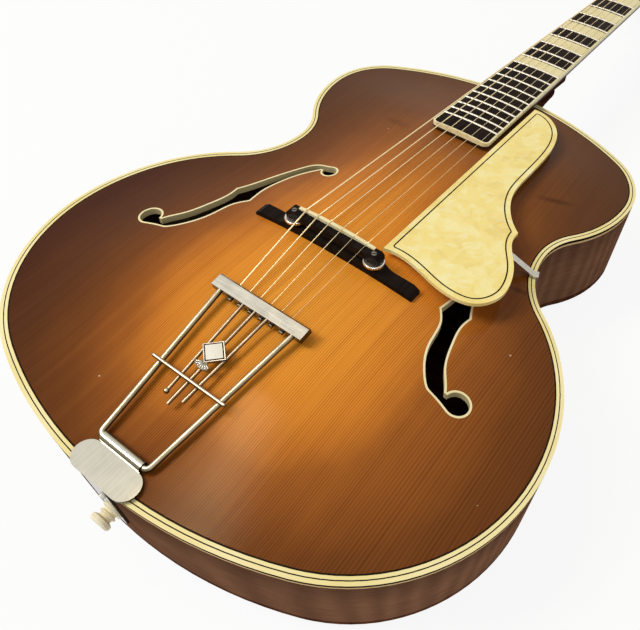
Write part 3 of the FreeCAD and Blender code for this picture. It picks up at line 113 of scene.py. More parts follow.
class Finish:
    """A material under construction, with short names for the shader nodes."""

    # Fineness of every noise, and the range in which nearly all of its values lie
    NOISE_ROUGHNESS = 0.55
    NOISE_LOW = 0.3
    NOISE_HIGH = 0.7

    def __init__(self, name):
        self.material = bpy.data.materials.new(name)
        self.material.use_nodes = True
        self.tree = self.material.node_tree
        self.shader = self.tree.nodes["Principled BSDF"]
        self.coordinates = self.add("ShaderNodeTexCoord").outputs
        self.place = self.coordinates["Object"]
        self.colour = None

    def feed(self, socket, value):
        """Link another node's result to a socket, or set the socket to a constant."""
        if isinstance(value, bpy.types.NodeSocket):
            self.tree.links.new(value, socket)
        else:
            socket.default_value = value

    def add(self, kind, inputs=None, **settings):
        """New shader node with its settings made and its inputs fed."""
        node = self.tree.nodes.new(kind)
        for key, value in settings.items():
            setattr(node, key, value)
        for key, value in (inputs or {}).items():
            self.feed(node.inputs[key], value)
        return node

    def set(self, **inputs):
        """Feed the main shader and hand the finish back."""
        for name, value in inputs.items():
            self.feed(self.shader.inputs[name.replace("_", " ").title().replace("Ior", "IOR")], value)
        self.colour = inputs.get("base_color", self.colour)
        return self

    def bump(self, height, strength, distance):
        node = self.add("ShaderNodeBump", {"Height": height, "Strength": strength, "Distance": distance})
        self.feed(self.shader.inputs["Normal"], node.outputs[0])

    def math(self, operation, *values):
        return self.add("ShaderNodeMath", dict(enumerate(values)), operation=operation).outputs[0]

    def vector_math(self, operation, *values):
        return self.add("ShaderNodeVectorMath", dict(enumerate(values)), operation=operation).outputs

    def weighted(self, first, first_share, second, second_share):
        """Sum of two values, each times its share."""
        return self.math("MULTIPLY_ADD", first, first_share, self.math("MULTIPLY", second, second_share))

    def levels(self, factor, low, high, out_low, out_high):
        """Value that goes from out_low to out_high while the factor goes from low to high."""
        inputs = {"Value": factor, "From Min": low, "From Max": high, "To Min": out_low, "To Max": out_high}
        return self.add("ShaderNodeMapRange", inputs).outputs[0]

    # The mix node has sockets for each kind of data under the same names, so they are fed by number
    def choose(self, condition, if_one, if_zero):
        """The first value where the condition is one, the second where it is zero."""
        inputs = {0: condition, 2: if_zero, 3: if_one}
        return self.add("ShaderNodeMix", inputs, data_type="FLOAT").outputs[0]

    def mix(self, factor, first, second, blend="MIX"):
        inputs = {0: factor, 6: first, 7: second}
        return self.add("ShaderNodeMix", inputs, data_type="RGBA", blend_type=blend).outputs[2]

    def ramp(self, factor, *stops):
        node = self.add("ShaderNodeValToRGB", {0: factor})
        elements = node.color_ramp.elements
        while len(elements) < len(stops):
            elements.new(0.5)
        for element, (position, colour) in zip(elements, stops):
            element.position = position
            element.color = colour
        return node.outputs[0]

    def axes(self, vector=None):
        """X, Y and Z of a vector, or of the place in the object."""
        return self.add("ShaderNodeSeparateXYZ", {0: vector or self.place}).outputs

    def upward(self):
        """One where a face looks up, zero on a wall."""
        return self.axes(self.coordinates["Normal"])[2]

    def stretched(self, scale, turn=(0, 0, 0)):
        """Coordinates turned, and scaled along each axis."""
        inputs = {"Vector": self.place, "Scale": scale, "Rotation": turn}
        return self.add("ShaderNodeMapping", inputs).outputs[0]

    def local(self, middle, size, turn):
        """Coordinates about a place, turned about Z and counted in the given sizes."""
        inputs = {"Vector": self.place, "Location": middle, "Rotation": (0, 0, turn), "Scale": size}
        return self.add("ShaderNodeMapping", inputs, vector_type="TEXTURE").outputs[0]

    def noise(self, vector, scale, detail):
        inputs = {"Vector": vector, "Scale": scale, "Detail": detail, "Roughness": self.NOISE_ROUGHNESS}
        return self.add("ShaderNodeTexNoise", inputs).outputs[0]

    def streaks(self, scale, detail, turn=(0, 0, 0)):
        """Noise with its own scale along each axis."""
        return self.noise(self.stretched(scale, turn), 1, detail)

    def uneven(self, noise, low, high):
        """Value that wanders between low and high with a noise."""
        return self.levels(noise, self.NOISE_LOW, self.NOISE_HIGH, low, high)

    def bands(self, vector, direction, scale, distortion=0.0, detail=1.0, detail_scale=1.0):
        inputs = {"Vector": vector, "Scale": scale, "Distortion": distortion, "Detail": detail,
                  "Detail Scale": detail_scale}
        node = self.add("ShaderNodeTexWave", inputs, wave_type="BANDS", bands_direction=direction)
        return node.outputs["Fac"]

    def cells(self, vector, scale):
        """Cell pattern, with the distance to a cell's middle and a colour for each cell."""
        return self.add("ShaderNodeTexVoronoi", {"Vector": vector, "Scale": scale}).outputs


# Sunburst: half widths of the honey field at the saddle and their change per metre towards the neck, its
# middle, its reach to the tail and to the neck, its unevenness, how many times as far out the last tone lies,
# and the tones with their shares of that way
BURST_BASS = 0.0855
BURST_BASS_TAPER = -0.02
BURST_TREBLE = 0.1166
BURST_TREBLE_TAPER = -0.154
BURST_CENTRE = -0.072
BURST_TO_TAIL = 0.100
BURST_TO_NECK = 0.236
BURST_CLOUD = 0.06
BURST_END = 2.2
BURST_TONES = (
    (0.0, srgb(246, 168, 59)),
    (0.22, srgb(243, 158, 52)),
    (0.32, srgb(226, 142, 47)),
    (0.4, srgb(203, 124, 43)),
    (0.46, srgb(172, 102, 37)),
    (0.53, srgb(153, 89, 33)),
    (0.62, srgb(124, 71, 26)),
    (0.77, srgb(99, 56, 22)),
    (1.0, srgb(76, 37, 14)),
)

# Duller brown towards the neck: where it starts and ends, and its greatest share
DULL_FROM = 0.02
DULL_TO = 0.2
DULL_MOST = 0.38
DULL_BROWN = srgb(112, 76, 46)

# Dark streaks on the top: middle, half length, half width, turn and strength
STREAKS = (
    ((0.1033, 0.1605), 0.020, 0.0042, 0.42, 0.55),
    ((-0.060, 0.161), 0.018, 0.0060, -0.1, 0.28),
    ((0.126, 0.0565), 0.012, 0.0030, 0.15, 0.5),
)
STREAK_CORE = 0.2
STREAK_BROWN = srgb(66, 30, 12)

# Grain of spruce: scale and unevenness of its lines on the top and inside, their wander along the top, and
# the distance from the seam at which they become wider, with the ease of that change and its strength
GRAIN_SCALE = 200
GRAIN_BEND = 1.6
INNER_GRAIN_BEND = 1.5
GRAIN_DETAIL = 2
GRAIN_DETAIL_SCALE = 0.4
GRAIN_WANDER = 0.03
WIDE_GRAIN_FROM = 0.130
WIDE_GRAIN_EASE = 0.03
WIDE_GRAIN_SHARE = 0.34

# Pale nicks in the lacquer: scale and size of the spots, and the noise above which a spot is one
NICK_SCALE = 46
NICK_SIZE = 0.035
NICK_NOISE_SCALE = 27
NICK_RARITY = 0.58
NICK_STRENGTH = 0.55


def burst_colour(f, x, y):
    """Honey in the middle, brown outside and a duller brown towards the neck."""
    bass = f.math("MULTIPLY_ADD", y, BURST_BASS_TAPER, BURST_BASS)
    treble = f.math("MULTIPLY_ADD", y, BURST_TREBLE_TAPER, BURST_TREBLE)
    across = f.math("DIVIDE", x, f.choose(f.math("LESS_THAN", x, 0.0), bass, treble))
    from_centre = f.math("SUBTRACT", y, BURST_CENTRE)
    reach = f.choose(f.math("LESS_THAN", from_centre, 0.0), BURST_TO_TAIL, BURST_TO_NECK)
    along = f.math("DIVIDE", from_centre, reach)
    spread = f.math("SQRT", f.math("ADD", f.math("POWER", across, 2.0), f.math("POWER", along, 2.0)))
    cloud = f.uneven(f.noise(f.place, 14, 2), -BURST_CLOUD, BURST_CLOUD)
    colour = f.ramp(f.math("DIVIDE", f.math("ADD", spread, cloud), BURST_END), *BURST_TONES)
    return f.mix(f.levels(y, DULL_FROM, DULL_TO, 0.0, DULL_MOST), colour, DULL_BROWN)


def streaked(f, colour):
    """The colour with the dark streaks over it."""
    for (x, y), half_length, half_width, turn, strength in STREAKS:
        around = f.local((x, y, TOP_EDGE), (half_length, half_width, 1), turn)
        share = f.levels(f.vector_math("LENGTH", around)["Value"], STREAK_CORE, 1.0, strength, 0.0)
        colour = f.mix(share, colour, STREAK_BROWN)
    return colour


def burst_grain(f, x, y):
    """Grain lines, and how strongly they show."""
    from_seam = f.math("ABSOLUTE", x)
    outer = f.math("SMOOTH_MAX", f.math("SUBTRACT", from_seam, WIDE_GRAIN_FROM), 0.0, WIDE_GRAIN_EASE)
    widened = f.math("MULTIPLY_ADD", outer, -WIDE_GRAIN_SHARE, from_seam)
    vector = f.add("ShaderNodeCombineXYZ", {"X": widened, "Y": f.math("MULTIPLY", y, GRAIN_WANDER)})
    lines = f.bands(vector.outputs[0], "X", GRAIN_SCALE, GRAIN_BEND, GRAIN_DETAIL, GRAIN_DETAIL_SCALE)
    broad = f.levels(f.streaks((150, 1.2, 1), 3), 0.35, 0.7, 0.35, 1.0)
    grain = f.math("MULTIPLY", f.levels(lines, 0.25, 1.0, 0.0, 1.0), broad)
    towards_edge = f.levels(from_seam, 0.08, 0.15, 0.62, 0.5)
    towards_neck = f.levels(y, 0.05, 0.2, 1.0, 0.4)
    return lines, f.math("MULTIPLY", grain, f.math("MULTIPLY", towards_edge, towards_neck))


def nicks(f):
    """Strength of the pale nicks, above zero in a few small spots only."""
    spots = f.math("LESS_THAN", f.cells(f.place, NICK_SCALE)["Distance"], NICK_SIZE)
    chosen = f.math("GREATER_THAN", f.noise(f.place, NICK_NOISE_SCALE, 1), NICK_RARITY)
    return f.math("MULTIPLY", f.math("MULTIPLY", spots, chosen), NICK_STRENGTH)


def spruce_burst():
    """Lacquered spruce, honey in the middle and brown towards the edge, with straight grain."""
    f = Finish("spruce_burst")
    x, y, _ = f.axes()
    lines, grain = burst_grain(f, x, y)
    fibres = f.streaks((900, 9, 9), 3)
    colour = streaked(f, burst_colour(f, x, y))
    colour = f.mix(grain, colour, srgb(150, 90, 40), "MULTIPLY")
    colour = f.mix(f.levels(fibres, 0.35, 0.75, 0.0, 0.22), colour, srgb(140, 90, 45), "MULTIPLY")
    colour = f.mix(nicks(f), colour, srgb(236, 214, 180))
    f.bump(f.math("MULTIPLY_ADD", lines, 0.6, fibres), strength=0.10, distance=0.0002)
    haze = f.uneven(f.noise(f.place, 60, 4), 0.09, 0.14)
    return f.set(base_color=colour, roughness=haze, specular_ior_level=0.07)


def bare_spruce():
    """Spruce inside the body, without lacquer."""
    f = Finish("bare_spruce")
    vector = f.stretched((1, GRAIN_WANDER, 1))
    lines = f.bands(vector, "X", GRAIN_SCALE, INNER_GRAIN_BEND, GRAIN_DETAIL, GRAIN_DETAIL_SCALE)
    cloud = f.noise(f.place, 16, 3)
    share = f.weighted(lines, 0.4, cloud, 0.6)
    colour = f.ramp(share, (0.2, srgb(196, 160, 110)), (0.8, srgb(226, 198, 150)))
    f.bump(lines, strength=0.15, distance=0.0002)
    return f.set(base_color=colour, roughness=f.levels(cloud, 0.2, 0.8, 0.6, 0.8))


def curly_maple(name, dark, light, turn=(0, 0, 0)):
    """Stained, figured maple."""
    f = Finish(name)
    figure = f.bands(f.stretched((1, 1, 0.35), turn), "Y", 26, 5.0, 3, 0.7)
    pores = f.streaks((60, 60, 700), 3, turn)
    cloud = f.noise(f.place, 7, 3)
    colour = f.ramp(f.weighted(figure, 0.22, cloud, 0.78), (0.25, dark), (0.75, light))
    colour = f.mix(f.levels(pores, 0.35, 0.75, 0.0, 0.3), colour, srgb(70, 40, 28), "MULTIPLY")
    f.bump(pores, strength=0.08, distance=0.0002)
    return f.set(base_color=colour, roughness=f.uneven(cloud, 0.34, 0.48), specular_ior_level=0.0)


# Darkening of the side wood from the floor to the top's edge, as shares of that height: a burst darker at
# both edges, and painted shade under the binding at the top
SIDE_BURST_AND_SHADE = ((0.0, grey(0.7)), (0.25, grey(1.0)), (0.6, grey(1.0)), (0.97, grey(0.6)))


def side_wood(name):
    """Side wood, darker towards the two edges: a burst, with painted shade under the top's edge."""
    f = curly_maple(name, srgb(108, 75, 56), srgb(146, 105, 80))
    # Partly painted shade: the band under the binding is darkened as if in its shadow
    shade = f.ramp(f.math("DIVIDE", f.axes()[2], TOP_EDGE), *SIDE_BURST_AND_SHADE)
    return f.set(base_color=f.mix(1.0, f.colour, shade, "MULTIPLY"))


# Depths below the top's edge at which the cream, the dark and the tan ply end on the side
CREAM_PLY_END = 0.0002
DARK_PLY_END = 0.0030
TAN_PLY_END = 0.0050
BINDING_PALE = srgb(254, 242, 188)
BINDING_AGED = srgb(242, 226, 152)


def binding_plies():
    """Cream edge binding over a dark and a tan ply, with the side's wood under them."""
    f = side_wood("binding_plies")
    colour = f.colour
    below = f.math("SUBTRACT", TOP_EDGE, f.axes()[2])
    cream = f.ramp(f.noise(f.place, 18, 4), (0.3, BINDING_AGED), (0.7, BINDING_PALE))
    plies = ((TAN_PLY_END, srgb(222, 190, 140)), (DARK_PLY_END, srgb(38, 24, 10)), (CREAM_PLY_END, cream))
    for end, ply in plies:
        colour = f.mix(f.math("LESS_THAN", below, end), colour, ply)
    gloss = f.math("MULTIPLY", f.math("LESS_THAN", below, CREAM_PLY_END), 0.1)
    rough = f.uneven(f.noise(f.place, 60, 3), 0.28, 0.42)
    return f.set(base_color=colour, roughness=rough, specular_ior_level=gloss)


def dark_wood(name, dark, light, rough):
    """Close-grained black wood, rubbed to a low sheen."""
    f = Finish(name)
    grain = f.streaks((240, 14, 240), 4)
    sheen = f.uneven(f.noise(f.place, 30, 3), rough - 0.08, rough + 0.1)
    f.bump(grain, strength=0.12, distance=0.0002)
    colour = f.ramp(grain, (0.3, dark), (0.75, light))
    return f.set(base_color=colour, roughness=sheen, specular_ior_level=0.02)


def celluloid(name, pale, aged, rough=0.28, scale=18.0, wall=None):
    """Aged cream plastic, yellower in patches; a wall colour paints shade on what doesn't face up."""
    f = Finish(name)
    patches = f.noise(f.place, scale, 4)
    specks = f.noise(f.place, 420, 2)
    colour = f.ramp(patches, (0.3, aged), (0.7, pale))
    colour = f.mix(f.levels(specks, 0.62, 0.75, 0.0, 0.25), colour, srgb(150, 126, 80), "MULTIPLY")
    # Painted shade: faces that don't look up are blended towards the wall colour
    if wall:
        colour = f.mix(f.levels(f.upward(), 0.3, 0.85, 1.0, 0.0), colour, wall)
    f.bump(f.noise(f.place, 160, 2), strength=0.05, distance=0.0003)
    sheen = f.uneven(patches, rough, rough + 0.14)
    return f.set(base_color=colour, roughness=sheen, specular_ior_level=0.2)


# Share of the board's thickness, from the top, that its binding covers in cream; below it, painted shadow of
# the neck's side
BOARD_BINDING_SHARE = 0.7


def board_binding():
    """Cream binding of the fingerboard, with a dark band of painted shadow where it meets the neck."""
    f = celluloid("board_binding", srgb(252, 242, 196), srgb(240, 224, 160))
    up = NECK.to_3x3() @ Vector((0, 0, 1))
    level = f.vector_math("DOT_PRODUCT", f.place, up)["Value"]
    # Painted shadow: the binding's lower part takes the dark of the neck's shaded side
    shadowed_foot = f.math("LESS_THAN", level, NUT_AT.dot(up) - BOARD_THICKNESS * BOARD_BINDING_SHARE)
    return f.set(base_color=f.mix(shadowed_foot, f.colour, srgb(58, 40, 28)))


# Pearl of the pickguard: warp of its flakes, scales of the large and the small ones, and bright slivers
PEARL_WARP = 0.02
PEARL_LARGE = 72
PEARL_SMALL = 170
SLIVER_SIZE = (0.009, 0.0026, 1)
SLIVER_TURNS = (0.35, 1.25)


def pearloid():
    """Cream celluloid with pearl flakes that overlap at all angles."""
    f = Finish("pearloid")
    bent = f.vector_math("MULTIPLY_ADD", f.noise(f.place, 40, 2), (PEARL_WARP,) * 3, f.place)["Vector"]
    large = f.axes(f.cells(bent, PEARL_LARGE)["Color"])[0]
    small = f.axes(f.cells(bent, PEARL_SMALL)["Color"])[1]
    flakes = f.weighted(large, 0.6, small, 0.4)
    share = f.weighted(flakes, 0.55, f.noise(bent, 55, 3), 0.5)
    colour = f.ramp(share, (0.2, srgb(242, 218, 134)), (0.5, srgb(253, 233, 148)),
                    (0.85, srgb(255, 246, 182)))
    for turn in SLIVER_TURNS:
        slivers = f.axes(f.cells(f.local((0, 0, 0), SLIVER_SIZE, turn), 1.0)["Color"])[0]
        colour = f.mix(f.levels(slivers, 0.9, 1.0, 0.0, 0.4), colour, srgb(255, 251, 206))
    rough = f.levels(share, 0.2, 0.8, 0.36, 0.2)
    return f.set(base_color=colour, roughness=rough, specular_ior_level=0.15)


def black_celluloid():
    """Brown-black plastic of the thin plies and lines."""
    f = Finish("black_celluloid")
    cloud = f.noise(f.place, 60, 3)
    colour = f.ramp(cloud, (0.3, srgb(26, 18, 12)), (0.7, srgb(46, 34, 22)))
    return f.set(base_color=colour, roughness=f.uneven(cloud, 0.3, 0.45), specular_ior_level=0.03)


def plated(name, dark, light, rough, spread=0.16, brush=(40, 900, 900), strength=0.12, painted_flank_shade=None):
    """Worn metal with fine brush marks and dull patches; faces that don't look up may get painted shade."""
    f = Finish(name)
    marks = f.streaks(brush, 3)
    dull = f.noise(f.place, 55, 4)
    colour = f.ramp(f.weighted(marks, 0.6, dull, 0.4), (0.3, dark), (0.7, light))
    # Painted shade: faces that don't look up are darkened towards a darker colour, standing in for shade and
    # dim reflections
    if painted_flank_shade:
        tarnish_and_painted_shade = f.ramp(f.upward(), (0.2, painted_flank_shade), (0.75, mixed(painted_flank_shade, light, 0.35)),
                         (0.9, mixed(painted_flank_shade, light, 0.7)), (0.98, grey(1.0)))
        colour = f.mix(1.0, colour, tarnish_and_painted_shade, "MULTIPLY")
    f.bump(marks, strength, distance=0.0001)
    return f.set(base_color=colour, metallic=1.0, roughness=f.uneven(dull, rough, rough + spread))


def wound_wire(name, dark, light):
    """Wire with a close winding, seen as fine rings."""
    f = Finish(name)
    rings = f.bands(f.place, "Y", 900)
    tarnish_and_painted_shade = f.noise(f.place, 45, 3)
    colour = f.ramp(f.weighted(rings, 0.5, tarnish_and_painted_shade, 0.5), (0.25, dark), (0.75, light))
    f.bump(rings, strength=0.5, distance=0.0001)
    return f.set(base_color=colour, metallic=1.0, roughness=f.uneven(tarnish_and_painted_shade, 0.28, 0.42))


# Brush marks: along the strings, across them along the bar, and none that lead one way
LENGTHWISE = (900, 40, 900)
CROSSWISE = (60, 900, 900)
EVEN = (120, 120, 120)
FINE_EVEN = (200, 200, 200)

# Woods
MAPLE = curly_maple("maple", srgb(64, 36, 24), srgb(112, 66, 42))
NECK_MAPLE = curly_maple("neck_maple", srgb(70, 40, 26), srgb(104, 62, 40), turn=(0, 0, math.pi / 2))
RIM_MAPLE = side_wood("rim_maple")
INNER_SPRUCE = bare_spruce()
EBONY = dark_wood("ebony", srgb(18, 14, 12), srgb(40, 31, 26), 0.42)
BOARD = dark_wood("fingerboard_wood", srgb(18, 14, 12), srgb(44, 32, 26), 0.45)

# Plastics, bone and enamel
BINDING = celluloid("binding_cream", BINDING_PALE, BINDING_AGED)
CREAM = celluloid("cream_plastic", srgb(252, 246, 222), srgb(238, 226, 188), 0.3, 90)
INLAY = celluloid("inlay_cream", srgb(250, 240, 192), srgb(234, 220, 156))
# The f-hole bindings' wall colour is painted shade on their inner walls
HOLE_BINDING = celluloid("hole_binding", srgb(254, 244, 204), srgb(244, 230, 172), wall=srgb(206, 190, 142))
BONE = celluloid("bone", srgb(250, 240, 196), srgb(238, 222, 164), 0.32, 60)
ENAMEL = celluloid("white_enamel", srgb(246, 244, 232), srgb(232, 228, 208), 0.25, 120)
BLACK = black_celluloid()

# Metals; some get a darker colour for faces that don't look up, as painted shade and dim reflections
NICKEL = plated("nickel", srgb(164, 158, 146), srgb(214, 208, 196), 0.26)
PLATE_NICKEL = plated("plate_nickel", srgb(193, 189, 173), srgb(216, 212, 195), 0.10, spread=0.04,
                      brush=LENGTHWISE, strength=0.03, painted_flank_shade=srgb(110, 102, 86))
BAR_NICKEL = plated("bar_nickel", srgb(180, 175, 161), srgb(228, 223, 207), 0.14, spread=0.06,
                    brush=CROSSWISE, strength=0.1, painted_flank_shade=srgb(118, 112, 98))
WIRE_NICKEL = plated("wire_nickel", srgb(186, 176, 150), srgb(240, 230, 208), 0.2,
                     brush=EVEN, strength=0.05, painted_flank_shade=srgb(90, 77, 55))
ROD_NICKEL = plated("rod_nickel", srgb(168, 150, 128), srgb(228, 210, 186), 0.24,
                    brush=EVEN, strength=0.05, painted_flank_shade=srgb(100, 86, 68))
BRIGHT_NICKEL = plated("bright_nickel", srgb(186, 178, 162), srgb(232, 226, 212), 0.16,
                       brush=EVEN, strength=0.05)
STUD_STEEL = plated("stud_steel", srgb(104, 98, 88), srgb(150, 144, 132), 0.34,
                    brush=FINE_EVEN, strength=0.06)
DARK_STEEL = plated("dark_steel", srgb(62, 56, 48), srgb(124, 116, 102), 0.3,
                    brush=FINE_EVEN, strength=0.05)
FRET_METAL = plated("fret_metal", srgb(178, 172, 156), srgb(222, 216, 200), 0.36,
                    brush=LENGTHWISE, strength=0.03)
BRASS_WINDING = wound_wire("brass_winding", srgb(222, 192, 132), srgb(255, 238, 194))
STEEL_WIRE = plated("steel_wire", srgb(212, 186, 130), srgb(250, 232, 184), 0.24,
                    brush=(900, 30, 900), strength=0.05)

# Finishes of the CAD nodes; those not listed are nickel, and the tuning buttons cream
FINISHES = {
    "top_plate": spruce_burst(),
    "back_plate": MAPLE,
    "rim_bass": RIM_MAPLE,
    "rim_treble": RIM_MAPLE,
    "top_lining": INNER_SPRUCE,
    "back_lining": INNER_SPRUCE,
    "tone_bars": INNER_SPRUCE,
    "neck_block": INNER_SPRUCE,
    "tail_block": INNER_SPRUCE,
    "top_binding": binding_plies(),
    "top_purfling": BLACK,
    "f_hole_bindings": HOLE_BINDING,
    "neck": NECK_MAPLE,
    "heel_cap": BINDING,
    "fingerboard": BOARD,
    "fingerboard_binding": board_binding(),
    "frets": FRET_METAL,
    "position_inlays": INLAY,
    "nut": BONE,
    "headstock_veneer": EBONY,
    "bridge_base": EBONY,
    "bridge_saddle": EBONY,
    "bridge_studs": STUD_STEEL,
    "saddle_insert": BONE,
    "tailpiece_plate": PLATE_NICKEL,
    "tailpiece_frame": WIRE_NICKEL,
    "tailpiece_rods": ROD_NICKEL,
    "tailpiece_bar": BAR_NICKEL,
    "tailpiece_badge": DARK_STEEL,
    "end_pin": CREAM,
    "pickguard": pearloid(),
    "pickguard_block": BLACK,
    "strings_wound": BRASS_WINDING,
    "strings_plain": STEEL_WIRE,
}


def dress_nodes():
    for name, node in nodes.items():
        finish = FINISHES.get(name, CREAM if name.startswith("tuner_button") else NICKEL)
        for place in node.material_slots:
            place.material = finish.material


def put(name, data):
    """New object in the scene."""
    obj = bpy.data.objects.new(name, data)
    bpy.context.scene.collection.objects.link(obj)
    return obj


def new_piece(name, bm, finish, body, smooth=True):
    """Turn a finished bmesh into a piece that rides on a body, if one is given."""
    bmesh.ops.recalc_face_normals(bm, faces=bm.faces)
    mesh = bpy.data.meshes.new(name)
    bm.to_mesh(mesh)
    bm.free()
    for face in mesh.polygons:
        face.use_smooth = smooth
    mesh.materials.append(finish.material)
    piece = put(name, mesh)
    if body:
        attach(piece, body)
    return piece


def even_angles(count):
    """Angles of points spread evenly on a circle."""
    return [2 * math.pi * k / count for k in range(count)]


def polar(radius, angle, height):
    return Vector((radius * math.cos(angle), radius * math.sin(angle), height))


def join_rings(bm, rings, loop=False):
    """Faces between neighbouring rings; a loop joins the last to the first, or else both ends are closed."""
    following = rings[1:] + rings[:1] if loop else rings[1:]
    for ring, other in zip(rings, following):
        count = len(ring)
        for k in range(count):
            after = (k + 1) % count
            bm.faces.new((ring[k], ring[after], other[after], other[k]))
    if not loop:
        bm.faces.new(rings[0])
        bm.faces.new(rings[-1])


def add_tube(bm, points, radii, sides=12):
    """Closed tube along a line of points, with a radius for each."""
    rings = []
    side = (points[1] - points[0]).normalized().orthogonal()
    for index, (point, radius) in enumerate(zip(points, radii)):
        along = (points[min(index + 1, len(points) - 1)] - points[max(index - 1, 0)]).normalized()
        side = (side - along * side.dot(along)).normalized()
        up = along.cross(side)
        rings.append([bm.verts.new(point + (side * math.cos(angle) + up * math.sin(angle)) * radius)
                      for angle in even_angles(sides)])
    join_rings(bm, rings)


def add_lathe(bm, place, profile, sides=16):
    """Closed turned form about the place's Z axis from (radius, height) points."""
    join_rings(bm, [[bm.verts.new(place @ polar(radius, angle, height)) for angle in even_angles(sides)]
                    for radius, height in profile])


def add_ball(bm, centre, radius, steps=8):
    turns = [math.pi * k / steps for k in range(1, steps)]
    profile = [(radius * math.sin(turn), -radius * math.cos(turn)) for turn in turns]
    add_lathe(bm, Matrix.Translation(centre), profile)


# Strings from bass to treble: the thickest and the thinnest, their spread at the bar, the saddle and the
# nut, where they leave the bar as a share of its width, and how far before the nut's back edge they bend
STRING_COUNT = 6
WOUND_COUNT = 4
STRING_THICKEST = 0.0013
STRING_THINNEST = 0.0003
BAR_SPREAD = 0.046
BRIDGE_SPREAD = 0.0554
NUT_SPREAD = 0.0356
BAR_LEAVE = 0.4
NUT_SETBACK = 0.0005
SADDLE_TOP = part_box("saddle_insert")[1].z

# Turns on the posts: each string's post, its waist's radius, the gap around it, and the turns with their
# pitch in radii of the string
POST_ORDER = (1, 2, 3, 6, 5, 4)
POST_WAIST = 0.0025
POST_GAP = 0.0003
POST_TURNS = 2.5
TURN_STEPS = 24
TURN_PITCH = 2.1

# Pieces into which each span is divided
AFTER_STEPS = 8
PLAY_STEPS = 40


def string_share(index):
    """Place among the strings, from -0.5 in the bass to 0.5 in the treble."""
    return index / (STRING_COUNT - 1) - 0.5


def string_anchors(index):
    """Radius, and the points at the bar, the saddle and the nut."""
    share = string_share(index)
    radius = STRING_THICKEST * (STRING_THINNEST / STRING_THICKEST) ** (share + 0.5) / 2
    bar = TAIL @ Vector((share * BAR_SPREAD, BAR_LOW + BAR_WIDTH * BAR_LEAVE, 0))
    saddle_x = share * BRIDGE_SPREAD
    saddle = Vector((saddle_x, 0, SADDLE_TOP - saddle_x ** 2 / 2 / BOARD_RADIUS + radius))
    nut_x = share * NUT_SPREAD
    level = NUT_RISE - NUT_CROWN * (nut_x / NUT_HALF) ** 2 + radius
    nut = NECK @ Vector((nut_x, NUT_THICKNESS - NUT_SETBACK, level))
    return radius, bar, saddle, nut


def head_run(index, radius, nut):
    """Line from the nut to its post and down around it."""
    low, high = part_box("string_post_%d" % POST_ORDER[index])
    to_head = HEAD.inverted()
    start = to_head @ nut
    centre = to_head @ ((low + high) / 2)
    centre.z = start.z
    side = 1 if centre.x > 0 else -1
    wrap = POST_WAIST + radius + POST_GAP
    offset = centre - start
    leave = math.atan2(offset.y, offset.x) + side * math.asin(wrap / offset.length)
    touch = start + polar(math.sqrt(offset.length_squared - wrap * wrap), leave, 0)
    first = math.atan2(touch.y - centre.y, touch.x - centre.x)
    points = [start]
    steps = int(POST_TURNS * TURN_STEPS)
    for k in range(steps + 1):
        turns = POST_TURNS * k / steps
        angle = first - side * 2 * math.pi * turns
        points.append(centre + polar(wrap, angle, -TURN_PITCH * radius * turns))
    return [HEAD @ point for point in points]


def straight(start, end, steps):
    return [start.lerp(end, k / steps) for k in range(steps + 1)]


def make_strings(kind, indices, finish, node):
    """Strings in three spans: behind the saddle, over the fingerboard and at the head."""
    spans = {span: bmesh.new() for span in ("after", "play", "head")}
    for index in indices:
        radius, bar, saddle, nut = string_anchors(index)
        lines = {"after": straight(bar, saddle, AFTER_STEPS), "play": straight(saddle, nut, PLAY_STEPS),
                 "head": head_run(index, radius, nut)}
        for span, points in lines.items():
            add_tube(spans[span], points, [radius] * len(points))
    after = new_piece("%s_strings_after" % kind, spans["after"], finish, "tailpiece")
    play = new_piece("%s_strings_play" % kind, spans["play"], finish, None)
    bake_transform(play)
    head = new_piece("%s_strings_head" % kind, spans["head"], finish, "guitar")
    for piece in (after, play, head):
        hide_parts(node)


# Ball ends behind the bar: length, radii of the ends, the lips and the waist, distances of a lip and of the
# waist from an end, and the place behind the bar and over its underside
BALL_LENGTH = 0.0032
BALL_END = 0.0007
BALL_LIP = 0.0015
BALL_WAIST = 0.0012
BALL_LIP_AT = 0.0003
BALL_WAIST_AT = 0.0010
BALL_BEHIND = 0.0008
BALL_LIFT = 0.0004


def make_ball_ends():
    """Ball ends that anchor the strings behind the bar."""
    profile = [(BALL_END, 0), (BALL_LIP, BALL_LIP_AT), (BALL_WAIST, BALL_WAIST_AT)]
    profile += [(radius, BALL_LENGTH - height) for radius, height in reversed(profile)]
    bm = bmesh.new()
    for index in range(STRING_COUNT):
        x = string_share(index) * BAR_SPREAD - BALL_LENGTH / 2
        at = TAIL @ Vector((x, BAR_LOW - BALL_BEHIND, -BAR_THICKNESS / 2 + BALL_LIFT))
        add_lathe(bm, Matrix.Translation(at) @ Matrix.Rotation(math.pi / 2, 4, "Y"), profile)
    new_piece("string_ball_ends", bm, DARK_STEEL, "tailpiece")


# Knurled thumbwheels: bore, ridges and the depth of their grooves, chamfer, and the shallow dish in the top
WHEEL_BORE = 0.00215
WHEEL_RIDGES = 44
GROOVE_DEPTH = 0.00045
GROOVE_STEPS = (0, 0.6, 1, 0.6)
WHEEL_CHAMFER = 0.0004
DISH_EDGE = 0.62
DISH_FLOOR = 0.58
DISH_DEPTH = 0.0003


